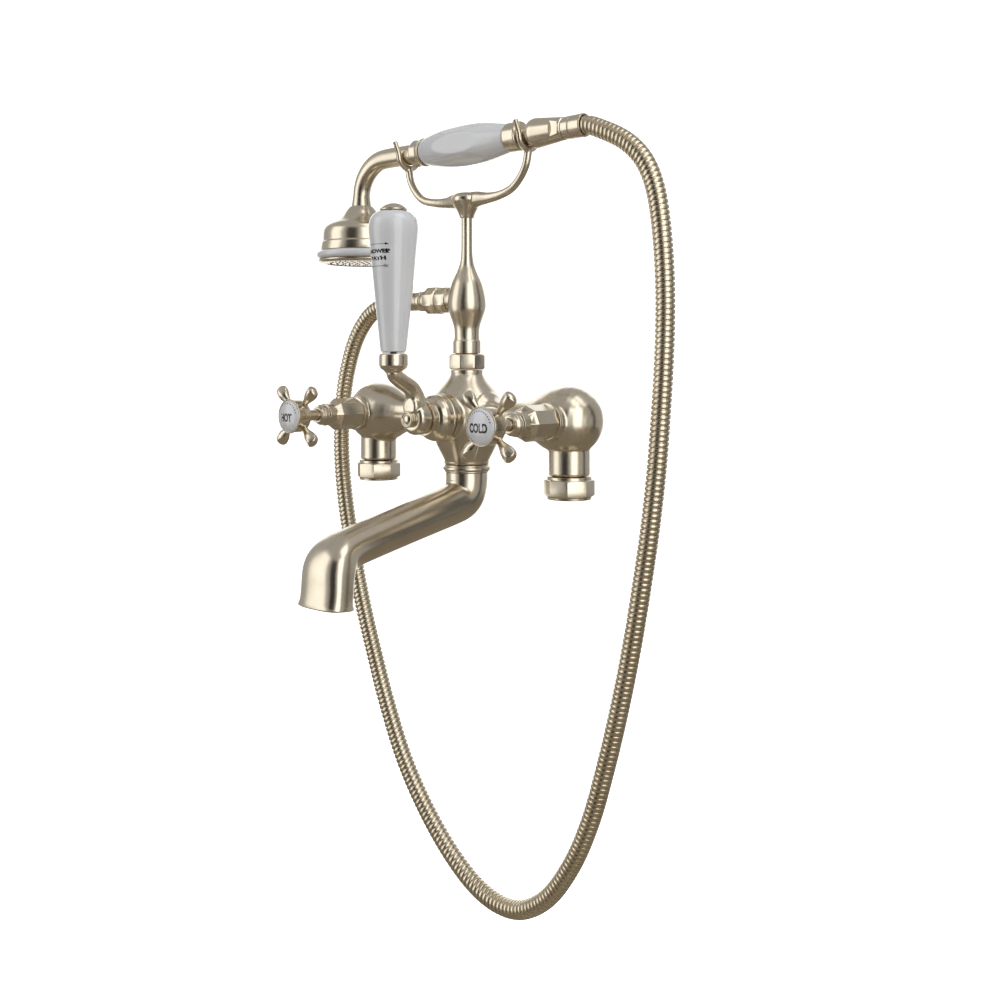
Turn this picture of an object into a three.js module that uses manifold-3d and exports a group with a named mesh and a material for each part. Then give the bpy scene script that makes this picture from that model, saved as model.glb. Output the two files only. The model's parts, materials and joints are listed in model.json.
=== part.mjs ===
// Wall mounted bath mixer with a hand shower on a cradle, in traditional style.
// Millimetres, +Z up, +Y into the wall, front of the mixer towards -Y.
// The origin is midway between the two supply unions, on their washers' sealing faces.
import * as THREE from 'three';
import { mergeVertices } from 'three/addons/utils/BufferGeometryUtils.js';
import Module from 'manifold-3d';

const wasm = await Module();
wasm.setup();

// ---- Driving dimensions --------------------------------------------------
const gap = 0.3;                 // between pieces that touch
const runningGap = 0.3;          // radial, between a turning piece and its hole
const swivelGap = 0.45;          // radial, round the spout's spigot
const twoPi = 2 * Math.PI;

const inletSpacing = 203.2;      // 8 inch centres
const axisHeight = 48;           // valve axis above the sealing faces
const wall = 2.6;                // least wall of a casting

// central barrel of the body
const barrelRadius = 28;
const barrelTopHeight = 36;      // top face above the valve axis
const barrelTopRadius = 11.9;
const barrelFootDepth = 36.7;    // bottom face below the valve axis
const barrelFootRadius = 17.1;
const armNeckRadius = 12;
const elbowRadius = 25;
const legRadius = 15;
const armBore = 5.5;
const legBore = 8.7;

// supply unions
const nutAcross = 36.6;          // across the corners of the octagon
const nutHeight = 16.3;
const nutSkirt = 8;              // how far the nut hangs below the sealing face
const tailRadius = 11.3;
const threadRadius = 13.3;
const washerThickness = 2;

// headworks (the ceramic disc cartridges)
const valveFace = 24.7;          // front face of the valve boss, forward of the legs
const valveBossRadius = 13.4;
const valveChamberRadius = 10.2;
const bonnetLength = 41.3;
const bonnetAcross = 25.4;
const spindleRadius = 4.3;
const discRadius = 8.6;
const discThickness = 3;

// cross handles
const handleBack = 80;           // back of the hub, forward of the legs
const hubLength = 12.2;
const hubRadius = 12.7;
const indexRadius = 12.9;
const bezelRadius = 13.5;
const armReach = 30.2;           // from the spindle to the end of an arm
const armTipRadius = 5.5;
const armRootRadius = 2.7;

// diverter and its lever
const diverterFace = 29;
const diverterBossRadius = 17.8;
const diverterBore = 12;
const diverterBonnetLength = 18.6;
const leverHubRadius = 12;
const leverHubLength = 12;
const crankReach = 23.3;           // from the hub's middle forward to the lever
const crankRise = 36;            // from the axis to the foot of the ferrule
const crankRadius = 6.2;
const ferruleRadius = 10.6;
const ferruleHeight = 12.4;
const leverLength = 102.5;
const leverFootRadius = 9.35;
const leverTopRadius = 18.2;
const leverCapRadius = 10.2;
const tieRodRadius = 2.5;

// spout
const spoutTopRadius = 16.5;
const spoutTubeRadius = 14.6;
const spigotRadius = 10.7;
const collarRadius = 18.7;
const collarHeight = 6;
const spoutReach = 138.8;
const spoutSlope = THREE.MathUtils.degToRad(11.3);
const spoutCorner = 64.1;        // where the two straight runs would meet, below the valve axis
const spoutBend = 18;
const mouthWidth = 43;
const mouthDepth = 25.5;
const mouthDrop = 125.6;         // middle of the lip below the valve axis
const mouthLean = 1.6;           // how far the last straight leans forward

// riser column
const columnNutHeight = 12.2;
const columnNutAcross = 29.6;
const columnTailRadius = 8.7;
const columnBore = 5.6;
const columnHeight = 115.5;        // from the top of the nut to the top of the stem
const columnBulbRadius = 15.05;
const stemRadius = 4.3;
const outletRise = 42.5;         // hose outlet above the top of the column nut

// cradle
const cradleHubHeight = 20;
const cradleReachLeft = 65.5;    // from the column to the gooseneck's fork
const cradleReachRight = 63;     // from the column to the neck's fork
const cradleWire = 3.1;
const forkWire = 2.3;
const prongRise = 9.5;            // fork tips above the handset's axis

// handset
const handsetRise = 47;          // handset axis above the top of the stem
const headReach = 123.6;         // from the column to the middle of the head
const gooseneckRadius = 8.3;
const gooseneckEndRadius = 7;
const gooseneckBore = 4.4;
const gooseneckBend = 30;
const headRadius = 34.3;
const roseRadius = 38;
const gripRadius = 16;
const gripFront = -45;
const gripRear = 45;
const gripBore = 6.3;
const stemTubeRadius = 6;
const neckRadius = 8;            // the neck between grip and cone nut, where the cradle holds
const coneNutStart = cradleReachRight + 3;
const coneNutLength = 32.6;

// hose
const hoseRadius = 6.9;

// Route of the hose from the handset's ferrule down, under and up to the outlet: [x, z].
const hoseRoute = [
  [112.8, 259], [115.6, 258.9], [123, 257.3], [131, 253.9], [139.5, 250], [148.6, 245], [157.6, 238.2],
  [165.6, 229.6], [172, 218.4], [176.8, 204], [180, 186], [182.4, 163], [183.7, 135], [183, 100],
  [180.5, 60], [176.8, 18], [171.5, -22], [164.5, -63], [156, -107], [146, -150], [134, -194],
  [120, -237], [103, -272.5], [80, -303], [55, -319], [33, -321.3], [10, -315], [-18, -296.5],
  [-47, -267.5], [-71, -234.5], [-92, -192.5], [-109, -150], [-123, -111], [-135, -69],
  [-144.5, -28], [-149.3, 12], [-148.5, 48], [-142, 82], [-129.5, 111], [-113, 129], [-97, 136.6],
  [-82, 139], [-76, 139],
];

// ---- Worked-out places ---------------------------------------------------
const halfSpacing = inletSpacing / 2;
const barrelTop = axisHeight + barrelTopHeight;
const barrelFoot = axisHeight - barrelFootDepth;
const columnFoot = barrelTop + gap + columnNutHeight;
const stemTop = columnFoot + columnHeight;
const outletHeight = columnFoot + outletRise;
const handsetHeight = stemTop + handsetRise;
const bonnetFront = valveFace + gap + bonnetLength;
const hubFront = handleBack + hubLength;
const diverterFront = diverterFace + gap + diverterBonnetLength;
const leverHubBack = diverterFront + gap;
const leverHubFront = leverHubBack + leverHubLength;
const leverForward = leverHubBack + leverHubLength / 2 + crankReach;
const ferruleTop = axisHeight + crankRise + ferruleHeight;
const leverFoot = ferruleTop + 1.2;

// ---- Materials -----------------------------------------------------------
function finish(color, roughness, metalness) {
  return new THREE.MeshStandardMaterial({ color, roughness, metalness });
}

const satinNickel = () => finish('#b8aa92', 0.32, 1);
const rawBrass = () => finish('#b89a5a', 0.4, 1);
const porcelain = () => finish('#e6e8ea', 0.12, 0);
const blackRubber = () => finish('#1c1c1e', 0.7, 0);
const alumina = () => finish('#ece6d8', 0.3, 0);
const stainless = () => finish('#a8a8a6', 0.35, 1);
const acetal = () => finish('#e9e9e4', 0.5, 0);

// ---- Geometry helpers ----------------------------------------------------

// A closed three.js geometry as a manifold solid, with its faces turned outwards.
function solid(geometry) {
  const plain = geometry.index ? geometry.toNonIndexed() : geometry.clone();
  plain.deleteAttribute('normal');
  plain.deleteAttribute('uv');
  const merged = mergeVertices(plain, 1e-4);
  const position = merged.getAttribute('position');
  const corners = [];
  for (let i = 0; i < merged.index.count; i += 3) {
    const [a, b, c] = [0, 1, 2].map((k) => merged.index.getX(i + k));
    if (a !== b && b !== c && c !== a) {
      corners.push(a, b, c);
    }
  }
  if (signedVolume(position, corners) < 0) {
    for (let i = 0; i < corners.length; i += 3) {
      [corners[i + 1], corners[i + 2]] = [corners[i + 2], corners[i + 1]];
    }
  }
  return new wasm.Manifold(new wasm.Mesh({
    numProp: 3,
    vertProperties: new Float32Array(position.array),
    triVerts: new Uint32Array(corners),
  }));
}

function signedVolume(position, corners) {
  const a = new THREE.Vector3();
  const b = new THREE.Vector3();
  const c = new THREE.Vector3();
  let volume = 0;
  for (let i = 0; i < corners.length; i += 3) {
    a.fromBufferAttribute(position, corners[i]);
    b.fromBufferAttribute(position, corners[i + 1]);
    c.fromBufferAttribute(position, corners[i + 2]);
    volume += a.dot(b.cross(c));
  }
  return volume / 6;
}

// A manifold solid back as a three.js geometry.
function geometryOf(body) {
  const mesh = body.getMesh();
  const geometry = new THREE.BufferGeometry();
  const points = new Float32Array(mesh.numVert * 3);
  for (let i = 0; i < mesh.numVert; i += 1) {
    points.set(mesh.vertProperties.subarray(i * mesh.numProp, i * mesh.numProp + 3), i * 3);
  }
  geometry.setAttribute('position', new THREE.BufferAttribute(points, 3));
  geometry.setIndex(new THREE.BufferAttribute(new Uint32Array(mesh.triVerts), 1));
  geometry.computeVertexNormals();
  return geometry;
}

// A profile of [radius, height] points turned about +Z.
function turned(profile, sides = 12) {
  const points = profile.map(([radius, height]) => new THREE.Vector2(radius, height));
  return new THREE.LatheGeometry(points, sides).rotateX(Math.PI / 2);
}

// The same, closed on itself, so that it has a hole of its inner radius.
function ring(profile, sides = 12) {
  return turned([...profile, profile[0]], sides);
}

function disc(radius, from, to, sides = 12) {
  return turned([[0, from], [radius, from], [radius, to], [0, to]], sides);
}

function washer(inner, outer, from, to, sides = 12) {
  return ring([[inner, from], [outer, from], [outer, to], [inner, to]], sides);
}

// A regular prism along +Z with a corner turned by the given angle.
function prism(across, from, to, sides = 8, turn = Math.PI / 8) {
  const shape = new THREE.CylinderGeometry(across / 2, across / 2, to - from, sides, 1, false, turn);
  return shape.rotateX(Math.PI / 2).translate(0, 0, (from + to) / 2);
}

// Heights of a piece made along +Z become distances forward (-Y), to the right (+X) or left (-X).
const forward = (geometry) => geometry.rotateX(Math.PI / 2);
const rightward = (geometry) => geometry.rotateY(Math.PI / 2);
const leftward = (geometry) => geometry.rotateY(-Math.PI / 2);

// A round bar that follows a curve; the section may be flattened.
function bar(curve, radius, steps, sides = 12, flatten = 1) {
  const section = new THREE.Shape();
  section.absellipse(0, 0, radius * flatten, radius, 0, twoPi);
  return new THREE.ExtrudeGeometry(section, {
    steps,
    extrudePath: curve,
    curveSegments: sides / 2,
  });
}

// Rings of points joined into one closed skin, with a fan at each end.
function skin(rings) {
  const sides = rings[0].length;
  const points = [];
  const faces = [];
  for (const loop of rings) {
    for (const point of loop) {
      points.push(point.x, point.y, point.z);
    }
  }
  for (let r = 0; r + 1 < rings.length; r += 1) {
    for (let i = 0; i < sides; i += 1) {
      const a = r * sides + i;
      const b = r * sides + (i + 1) % sides;
      faces.push(a, b, b + sides, a, b + sides, a + sides);
    }
  }
  const last = (rings.length - 1) * sides;
  for (let i = 1; i + 1 < sides; i += 1) {
    faces.push(0, i + 1, i, last, last + i, last + i + 1);
  }
  const geometry = new THREE.BufferGeometry();
  geometry.setAttribute('position', new THREE.Float32BufferAttribute(points, 3));
  geometry.setIndex(faces);
  return geometry;
}

// One cross-section of a bent piece: half width, half depth and how square its corners are.
function crossSection(point, along, across, halfWidth, halfDepth, squareness, sides) {
  const up = new THREE.Vector3().crossVectors(along, across).normalize();
  const power = 2 / squareness;
  const loop = [];
  for (let i = 0; i < sides; i += 1) {
    const c = Math.cos(twoPi * i / sides);
    const s = Math.sin(twoPi * i / sides);
    const x = Math.sign(c) * Math.abs(c) ** power * halfWidth;
    const y = Math.sign(s) * Math.abs(s) ** power * halfDepth;
    loop.push(point.clone().addScaledVector(across, x).addScaledVector(up, y));
  }
  return loop;
}

const model = new THREE.Group();

function add(name, shape, material, x = 0, y = 0, z = 0) {
  const body = shape instanceof THREE.BufferGeometry ? solid(shape) : shape;
  const mesh = new THREE.Mesh(geometryOf(body), material);
  mesh.name = name;
  mesh.position.set(x, y, z);
  model.add(mesh);
  return mesh;
}

// ---- Body casting --------------------------------------------------------

function barrel() {
  return turned([
    [0, -barrelFootDepth], [barrelFootRadius, -barrelFootDepth], [barrelFootRadius + 0.9, -33],
    [barrelFootRadius + 3.5, -28], [23.6, -22], [26.4, -13], [barrelRadius, -3], [27.7, 7],
    [25.2, 15.5], [20.3, 22.5], [15.6, 28], [barrelTopRadius + 0.8, 32.5],
    [barrelTopRadius, barrelTopHeight], [0, barrelTopHeight],
  ]);
}

// One side's arm: a neck that swells into the round elbow.
function sideArm() {
  return rightward(turned([
    [0, 0], [armNeckRadius + 2, 0], [armNeckRadius + 0.6, 24], [armNeckRadius, 40],
    [armNeckRadius + 0.5, halfSpacing - 46], [armNeckRadius + 2.6, halfSpacing - 34],
    [armNeckRadius + 5.6, halfSpacing - 26], [armNeckRadius + 9.6, halfSpacing - 17],
    [elbowRadius - 1.2, halfSpacing - 8], [elbowRadius, halfSpacing],
    [elbowRadius * 0.924, halfSpacing + elbowRadius * 0.383],
    [elbowRadius * 0.707, halfSpacing + elbowRadius * 0.707],
    [elbowRadius * 0.383, halfSpacing + elbowRadius * 0.924],
    [0, halfSpacing + elbowRadius],
  ]));
}

const nutTop = nutHeight - nutSkirt;
const clipHeight = 3.4;
const clipThickness = 1.5;

// A leg down to the union, with the groove that holds the nut's retaining clip.
function leg() {
  const tailFoot = washerThickness + gap;
  return turned([
    [0, tailFoot], [tailRadius, tailFoot], [tailRadius, clipHeight - 0.1],
    [tailRadius - 1.3, clipHeight - 0.1], [tailRadius - 1.3, clipHeight + clipThickness + 0.1],
    [tailRadius, clipHeight + clipThickness + 0.1], [tailRadius, nutTop + 2 * gap],
    [legRadius, nutTop + 2 * gap], [legRadius, axisHeight - elbowRadius + 6],
    [legRadius + 1.2, axisHeight - elbowRadius + 8], [legRadius - 3, axisHeight - 8],
    [0, axisHeight - 8],
  ]);
}

const seatDepth = 2;             // valve seat face, forward of the legs
const backBoreRadius = 6.6;
const backBoreSet = 8;           // how far the back bore sits behind the legs

// The waterways of one side: leg, back bore, seat, valve chamber and the way to the middle.
function sideWaterways() {
  const chamberFoot = axisHeight - valveChamberRadius;
  const ways = [
    disc(legBore, -1, chamberFoot - 7),
    disc(backBoreRadius, chamberFoot - 16, axisHeight + 5).translate(0, backBoreSet, 0),
    forward(disc(6, -backBoreSet, seatDepth + 1)).translate(0, 0, axisHeight),
    forward(disc(valveChamberRadius, seatDepth, valveFace + 5)).translate(0, 0, axisHeight),
  ];
  return ways.map(solid).reduce((whole, part) => whole.add(part));
}

function armWaterway() {
  return solid(rightward(disc(armBore, 0, halfSpacing - 8.2)).translate(0, -3, axisHeight));
}

const spoutShoulder = 28;        // top of the narrow part of the spout's bore

function mixerBody() {
  let body = solid(barrel().translate(0, 0, axisHeight));
  body = body.add(solid(forward(disc(diverterBossRadius, 0, diverterFace))
    .translate(0, 0, axisHeight)));
  for (const side of [-1, 1]) {
    const arm = sideArm();
    body = body.add(solid(side > 0 ? arm : arm.rotateZ(Math.PI)).translate([0, 0, axisHeight]));
    body = body.add(solid(leg()).translate([side * halfSpacing, 0, 0]));
    body = body.add(solid(forward(disc(valveBossRadius, 10, valveFace)))
      .translate([side * halfSpacing, 0, axisHeight]));
  }
  for (const side of [-1, 1]) {
    body = body.subtract(sideWaterways().translate([side * halfSpacing, 0, 0]));
    const way = armWaterway();
    body = body.subtract(side > 0 ? way : way.mirror([1, 0, 0]));
  }
  body = body.subtract(solid(forward(disc(diverterBore, -12, diverterFace + 1))
    .translate(0, 0, axisHeight)));
  body = body.subtract(solid(disc(columnTailRadius + gap, axisHeight, barrelTop + 1)));
  body = body.subtract(solid(disc(spigotRadius + swivelGap, barrelFoot - 1, spoutShoulder + 1)));
  body = body.subtract(solid(disc(spigotRadius + 2, spoutShoulder, axisHeight)));
  return body;
}

// ---- Supply unions -------------------------------------------------------

// An octagonal nut with a turned chamfer at both ends, a threaded skirt and an inner lip.
function unionNut() {
  const collar = nutAcross / 2 * Math.cos(Math.PI / 8) - 0.6;
  const outside = solid(prism(nutAcross, -nutSkirt, nutTop)).intersect(solid(turned([
    [0, -nutSkirt], [collar - 0.8, -nutSkirt], [collar, -nutSkirt + 0.8], [collar, -nutSkirt + 2.2],
    [nutAcross / 2 + 0.1, -nutSkirt + 3.4], [nutAcross / 2 + 0.1, nutTop - 3.4],
    [collar, nutTop - 2.2], [collar, nutTop - 0.8], [collar - 0.8, nutTop], [0, nutTop],
  ])));
  const lip = clipHeight + clipThickness + gap;
  const bore = solid(turned([
    [0, -nutSkirt - 1], [threadRadius, -nutSkirt - 1], [threadRadius, lip],
    [tailRadius + runningGap, lip], [tailRadius + runningGap, nutTop + 1], [0, nutTop + 1],
  ]));
  return outside.subtract(bore);
}

// A spring clip in the tail's groove, open at the back.
function unionClip() {
  const round = washer(tailRadius - 1.1, threadRadius - 0.5, clipHeight, clipHeight + clipThickness);
  const opening = new THREE.BoxGeometry(3, 8, 6).translate(0, tailRadius, clipHeight);
  return solid(round).subtract(solid(opening));
}

function addUnion(name, x) {
  add(`${name}_union_nut`, unionNut(), satinNickel(), x);
  add(`${name}_union_clip`, unionClip(), stainless(), x);
  const seal = washer(legBore, threadRadius - 0.4, 0, washerThickness);
  add(`${name}_union_washer`, seal, blackRubber(), x);
}

// ---- Headworks and cross handles -----------------------------------------

const sealFront = seatDepth + gap + 1.5;
const fixedDiscBack = sealFront + gap;
const movingDiscBack = fixedDiscBack + discThickness + gap;
const spindleBack = movingDiscBack + discThickness + gap;
const spindleFlange = 3;

function bonnet() {
  const octagonBack = valveFace + gap + 2;
  const octagonFront = octagonBack + 26;
  const outside = solid(prism(bonnetAcross, octagonBack - 0.5, octagonFront, 8, 0.18)).intersect(
    solid(turned([
      [0, octagonBack - 0.5], [bonnetAcross / 2 + 0.1, octagonBack - 0.5],
      [bonnetAcross / 2 + 0.1, octagonFront - 4.5], [9.6, octagonFront], [0, octagonFront],
    ])));
  const neck = solid(turned([
    [0, octagonFront - 1], [9.2, octagonFront - 1], [8.3, octagonFront + 4],
    [8.3, bonnetFront - 4.2], [7, bonnetFront - 1.2], [5.8, bonnetFront], [0, bonnetFront],
  ]));
  const flange = solid(disc(valveBossRadius + 0.4, valveFace + gap, octagonBack));
  const thread = solid(disc(valveChamberRadius - gap, spindleBack - 2.6, valveFace + 1));
  const shoulder = spindleBack + spindleFlange + gap;
  const bore = solid(turned([
    [0, 0], [discRadius + runningGap, 0], [discRadius + runningGap, shoulder],
    [spindleRadius + runningGap, shoulder], [spindleRadius + runningGap, bonnetFront + 1],
    [0, bonnetFront + 1],
  ]));
  return outside.add(neck).add(flange).add(thread).subtract(bore);
}

// A ceramic disc with two wedge-shaped ports.
function portedDisc(from) {
  const plate = solid(disc(discRadius, from, from + discThickness));
  let ported = plate;
  for (const turn of [0, Math.PI]) {
    const hole = new THREE.Shape();
    hole.absarc(0, 0, discRadius * 0.78, turn - 0.6, turn + 0.6, false);
    hole.absarc(0, 0, 2.2, turn + 0.6, turn - 0.6, true);
    const cut = new THREE.ExtrudeGeometry(hole, {
      depth: discThickness + 2,
      bevelEnabled: false,
      curveSegments: 5,
    }).translate(0, 0, from - 1);
    ported = ported.subtract(solid(cut));
  }
  return ported;
}

const spindleFront = hubFront - 3.6;

function spindle() {
  return turned([
    [0, spindleBack], [discRadius, spindleBack], [discRadius, spindleBack + spindleFlange],
    [spindleRadius, spindleBack + spindleFlange], [spindleRadius, handleBack + 1.4],
    [3.4, handleBack + 1.7], [3.4, spindleFront - 3], [0, spindleFront - 3],
  ]);
}

// One arm of the cross, a slender root that swells to a blunt, slightly flattened tip.
function crossArm() {
  const arm = turned([
    [0, 6], [armRootRadius + 0.6, 6], [armRootRadius, hubRadius + 2.6],
    [armTipRadius - 0.9, armReach - 9.4], [armTipRadius, armReach - 4.6],
    [armTipRadius - 2, armReach - 0.6], [0, armReach],
  ], 8);
  return arm.scale(0.86, 1, 1);
}

const indexDepth = 2.6;
const indexDome = 4.6;           // how far the porcelain stands out of the hub
const bezelThickness = 1.4;

function crossHandle() {
  const armForward = handleBack + 6;
  let handle = solid(turned([
    [0, handleBack], [9, handleBack], [11.6, handleBack + 0.9], [hubRadius, handleBack + 3],
    [hubRadius, hubFront], [0, hubFront],
  ]));
  for (let quarter = 0; quarter < 4; quarter += 1) {
    const arm = rightward(crossArm()).rotateZ(Math.PI / 4 + quarter * Math.PI / 2);
    handle = handle.add(solid(arm.translate(0, 0, armForward)));
  }
  handle = handle.subtract(solid(turned([
    [0, handleBack - 1], [spindleRadius + gap, handleBack - 1], [spindleRadius + gap, handleBack + 1.4],
    [3.4 + gap, handleBack + 1.4 + gap], [3.4 + gap, spindleFront - 2.4], [2.4, spindleFront - 2.4],
    [2.4, hubFront - indexDepth - 2.6], [5, hubFront - indexDepth - 2.6],
    [5, hubFront - indexDepth], [indexRadius - 1.2, hubFront - indexDepth],
    [indexRadius - 1.2, hubFront + 1], [0, hubFront + 1],
  ])));
  return handle;
}

// The ring that screws on the hub's front and holds the porcelain index.
function bezel() {
  return ring([
    [indexRadius - 1.0, hubFront + gap], [bezelRadius - 0.3, hubFront + gap],
    [bezelRadius, hubFront + gap + 0.6], [bezelRadius - 0.5, hubFront + gap + bezelThickness],
    [indexRadius + 0.1, hubFront + gap + bezelThickness - 0.2],
    [indexRadius - 1.0, hubFront + gap + 0.9],
  ]);
}

function indexPlate() {
  const back = hubFront - indexDepth + gap;
  return turned([
    [0, back], [indexRadius - 1.2 - gap, back], [indexRadius - 1.2 - gap, hubFront + 1.6],
    [indexRadius - 3.4, hubFront + 3.1], [indexRadius - 7.4, hubFront + 4.2], [0, hubFront + indexDome],
  ]);
}

function handleScrew() {
  const head = hubFront - indexDepth - 2.6 + gap;
  return turned([
    [0, spindleFront - 3 + gap], [2.1, spindleFront - 3 + gap], [2.1, head], [4.4, head],
    [4.4, head + 1.8], [3.6, head + 2.1], [0, head + 2.1],
  ]);
}

function addValve(name, x) {
  const parts = [
    ['valve_seat_seal', washer(5.8, discRadius + 0.8, seatDepth + gap, sealFront), blackRubber],
    ['fixed_disc', portedDisc(fixedDiscBack), alumina],
    ['moving_disc', portedDisc(movingDiscBack), alumina],
    ['spindle', spindle(), rawBrass],
    ['valve_bonnet', bonnet(), satinNickel],
    ['cross_handle', crossHandle(), satinNickel],
    ['handle_screw', handleScrew(), stainless],
    ['index_plate', indexPlate(), porcelain],
    ['index_bezel', bezel(), satinNickel],
  ];
  for (const [part, shape, material] of parts) {
    const geometry = shape instanceof THREE.BufferGeometry ? shape : geometryOf(shape);
    add(`${name}_${part}`, forward(geometry), material(), x, 0, axisHeight);
  }
}

// ---- Diverter ------------------------------------------------------------

const diverterDiscBack = 8;
const diverterDiscRadius = diverterBore - gap;
const movingPlateBack = diverterDiscBack + discThickness + gap;
const movingPlateRadius = 9.3;
const diverterStemRadius = 5;
const diverterSpindleBack = diverterDiscBack + 2 * (discThickness + gap);

function diverterBonnet() {
  const front = diverterFront;
  const outside = solid(turned([
    [0, diverterFace + gap], [diverterBossRadius - 0.2, diverterFace + gap],
    [diverterBossRadius, diverterFace + 6], [diverterBossRadius - 0.6, front - 12],
    [15.2, front - 7.5], [12.2, front - 5.4], [12.2, front - 4], [13.2, front - 3], [13.2, front],
    [0, front],
  ]));
  const thread = solid(disc(diverterBore - gap, diverterSpindleBack - 1, diverterFace + 1));
  const shoulder = diverterSpindleBack + spindleFlange + gap;
  const bore = solid(turned([
    [0, 0], [movingPlateRadius + 0.5, 0], [movingPlateRadius + 0.5, shoulder],
    [diverterStemRadius + runningGap, shoulder], [diverterStemRadius + runningGap, front + 1],
    [0, front + 1],
  ]));
  return outside.add(thread).subtract(bore);
}

function diverterPlate(from, radius) {
  const plate = solid(disc(radius, from, from + discThickness));
  const cuts = [-1, 1].map((side) => solid(disc(2.8, from - 1, from + discThickness + 1))
    .translate([0, side * 5.2, 0]));
  return plate.subtract(cuts[0]).subtract(cuts[1]);
}

function diverterSpindle() {
  return turned([
    [0, diverterSpindleBack], [movingPlateRadius, diverterSpindleBack],
    [movingPlateRadius, diverterSpindleBack + spindleFlange],
    [diverterStemRadius, diverterSpindleBack + spindleFlange],
    [diverterStemRadius, leverHubBack + 1], [4, leverHubBack + 1.4], [4, leverHubFront - 5],
    [0, leverHubFront - 5],
  ]);
}

// The lever's metal crank: a round hub, an arm that rises forward, and the ferrule on top.
function leverCrank() {
  const hub = solid(forward(turned([
    [0, leverHubBack], [leverHubRadius - 1.4, leverHubBack], [leverHubRadius, leverHubBack + 1.6],
    [leverHubRadius, leverHubFront - 2.6], [leverHubRadius - 2, leverHubFront - 0.8],
    [leverHubRadius - 4, leverHubFront], [0, leverHubFront],
  ])).translate(0, 0, axisHeight));
  const middle = leverHubBack + leverHubLength / 2;
  const curve = new THREE.CatmullRomCurve3([
    new THREE.Vector3(0, -middle, axisHeight + 4),
    new THREE.Vector3(0, -middle, axisHeight + leverHubRadius + 2),
    new THREE.Vector3(0, -middle - crankReach * 0.3, axisHeight + crankRise * 0.62),
    new THREE.Vector3(0, -middle - crankReach * 0.72, axisHeight + crankRise * 0.8),
    new THREE.Vector3(0, -leverForward, axisHeight + crankRise + 2),
  ]);
  const arm = solid(bar(curve, crankRadius, 10, 10));
  const foot = axisHeight + crankRise;
  const ferrule = solid(turned([
    [0, foot - 3], [5.4, foot - 3], [7.6, foot - 1.4], [ferruleRadius, foot + 1.4],
    [ferruleRadius, ferruleTop - 1], [ferruleRadius - 0.8, ferruleTop], [0, ferruleTop],
  ]).translate(0, -leverForward, 0));
  const lug = solid(forward(disc(7.2, leverHubFront - 4, leverHubFront + 2.2))
    .translate(0, 0, axisHeight + 8.5));
  let crank = hub.add(arm).add(ferrule).add(lug);
  crank = crank.subtract(solid(forward(turned([
    [0, leverHubBack - 1], [diverterStemRadius + gap, leverHubBack - 1],
    [diverterStemRadius + gap, leverHubBack + 1],
    [4 + gap, leverHubBack + 1 + gap], [4 + gap, leverHubFront - 5 + gap],
    [2.6, leverHubFront - 5 + gap], [2.6, leverHubFront + 4], [0, leverHubFront + 4],
  ])).translate(0, 0, axisHeight)));
  return crank.subtract(solid(disc(tieRodRadius + gap, foot + 2, ferruleTop + 1)
    .translate(0, -leverForward, 0)));
}

const screwFace = leverHubFront + 2.2 + gap;

function leverScrew() {
  return turned([
    [0, leverHubFront - 5 + 2 * gap], [2.3, leverHubFront - 5 + 2 * gap], [2.3, screwFace],
    [6.2, screwFace], [6.2, screwFace + 2], [5, screwFace + 2.6], [4.6, screwFace + 1.8],
    [3.4, screwFace + 2.4], [0, screwFace + 3],
  ]);
}

const leverTop = leverFoot + leverLength;

// The porcelain lever, a slender cone with a rounded shoulder, bored for its rod.
function porcelainLever() {
  return ring([
    [tieRodRadius + gap, leverFoot], [leverFootRadius - 0.8, leverFoot],
    [leverFootRadius, leverFoot + 1], [leverFootRadius + 2.9, leverFoot + 0.29 * leverLength],
    [leverTopRadius - 2.6, leverFoot + 0.6 * leverLength],
    [leverTopRadius - 0.2, leverFoot + 0.83 * leverLength],
    [leverTopRadius, leverFoot + 0.87 * leverLength], [leverTopRadius - 0.7, leverTop - 8.2],
    [leverTopRadius - 2.6, leverTop - 3.6], [leverTopRadius - 5.6, leverTop - 0.8],
    [leverTopRadius - 8.6, leverTop], [tieRodRadius + gap, leverTop],
  ]);
}

function tieRod() {
  const from = axisHeight + crankRise + 2 + gap;
  return disc(tieRodRadius, from, leverTop + 2.4);
}

function leverCap() {
  const foot = leverTop + gap;
  return solid(turned([
    [0, foot], [leverCapRadius - 0.8, foot], [leverCapRadius, foot + 0.8],
    [leverCapRadius - 1, foot + 2], [leverCapRadius - 3.4, foot + 3.9],
    [leverCapRadius - 6, foot + 4.9], [0, foot + 5.6],
  ])).subtract(solid(disc(tieRodRadius + gap, foot - 1, leverTop + 2.4 + gap)));
}

function addDiverter() {
  const inLine = [
    ['diverter_fixed_disc', diverterPlate(diverterDiscBack, diverterDiscRadius), alumina],
    ['diverter_moving_disc', diverterPlate(movingPlateBack, movingPlateRadius), alumina],
    ['diverter_spindle', diverterSpindle(), rawBrass],
    ['diverter_bonnet', diverterBonnet(), satinNickel],
    ['lever_screw', leverScrew(), satinNickel],
  ];
  for (const [name, shape, material] of inLine) {
    const geometry = shape instanceof THREE.BufferGeometry ? shape : geometryOf(shape);
    add(name, forward(geometry), material(), 0, 0, axisHeight);
  }
  add('lever_crank', leverCrank(), satinNickel());
  const cushion = washer(tieRodRadius + gap, leverFootRadius - 1, ferruleTop + gap, leverFoot - gap);
  add('lever_cushion', cushion, blackRubber(), 0, -leverForward);
  add('porcelain_lever', porcelainLever(), porcelain(), 0, -leverForward);
  add('lever_tie_rod', tieRod(), stainless(), 0, -leverForward);
  add('lever_cap', leverCap(), satinNickel(), 0, -leverForward);
}

// ---- Spout ---------------------------------------------------------------

const spoutTop = barrelFoot - gap - collarHeight - gap;

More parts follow.
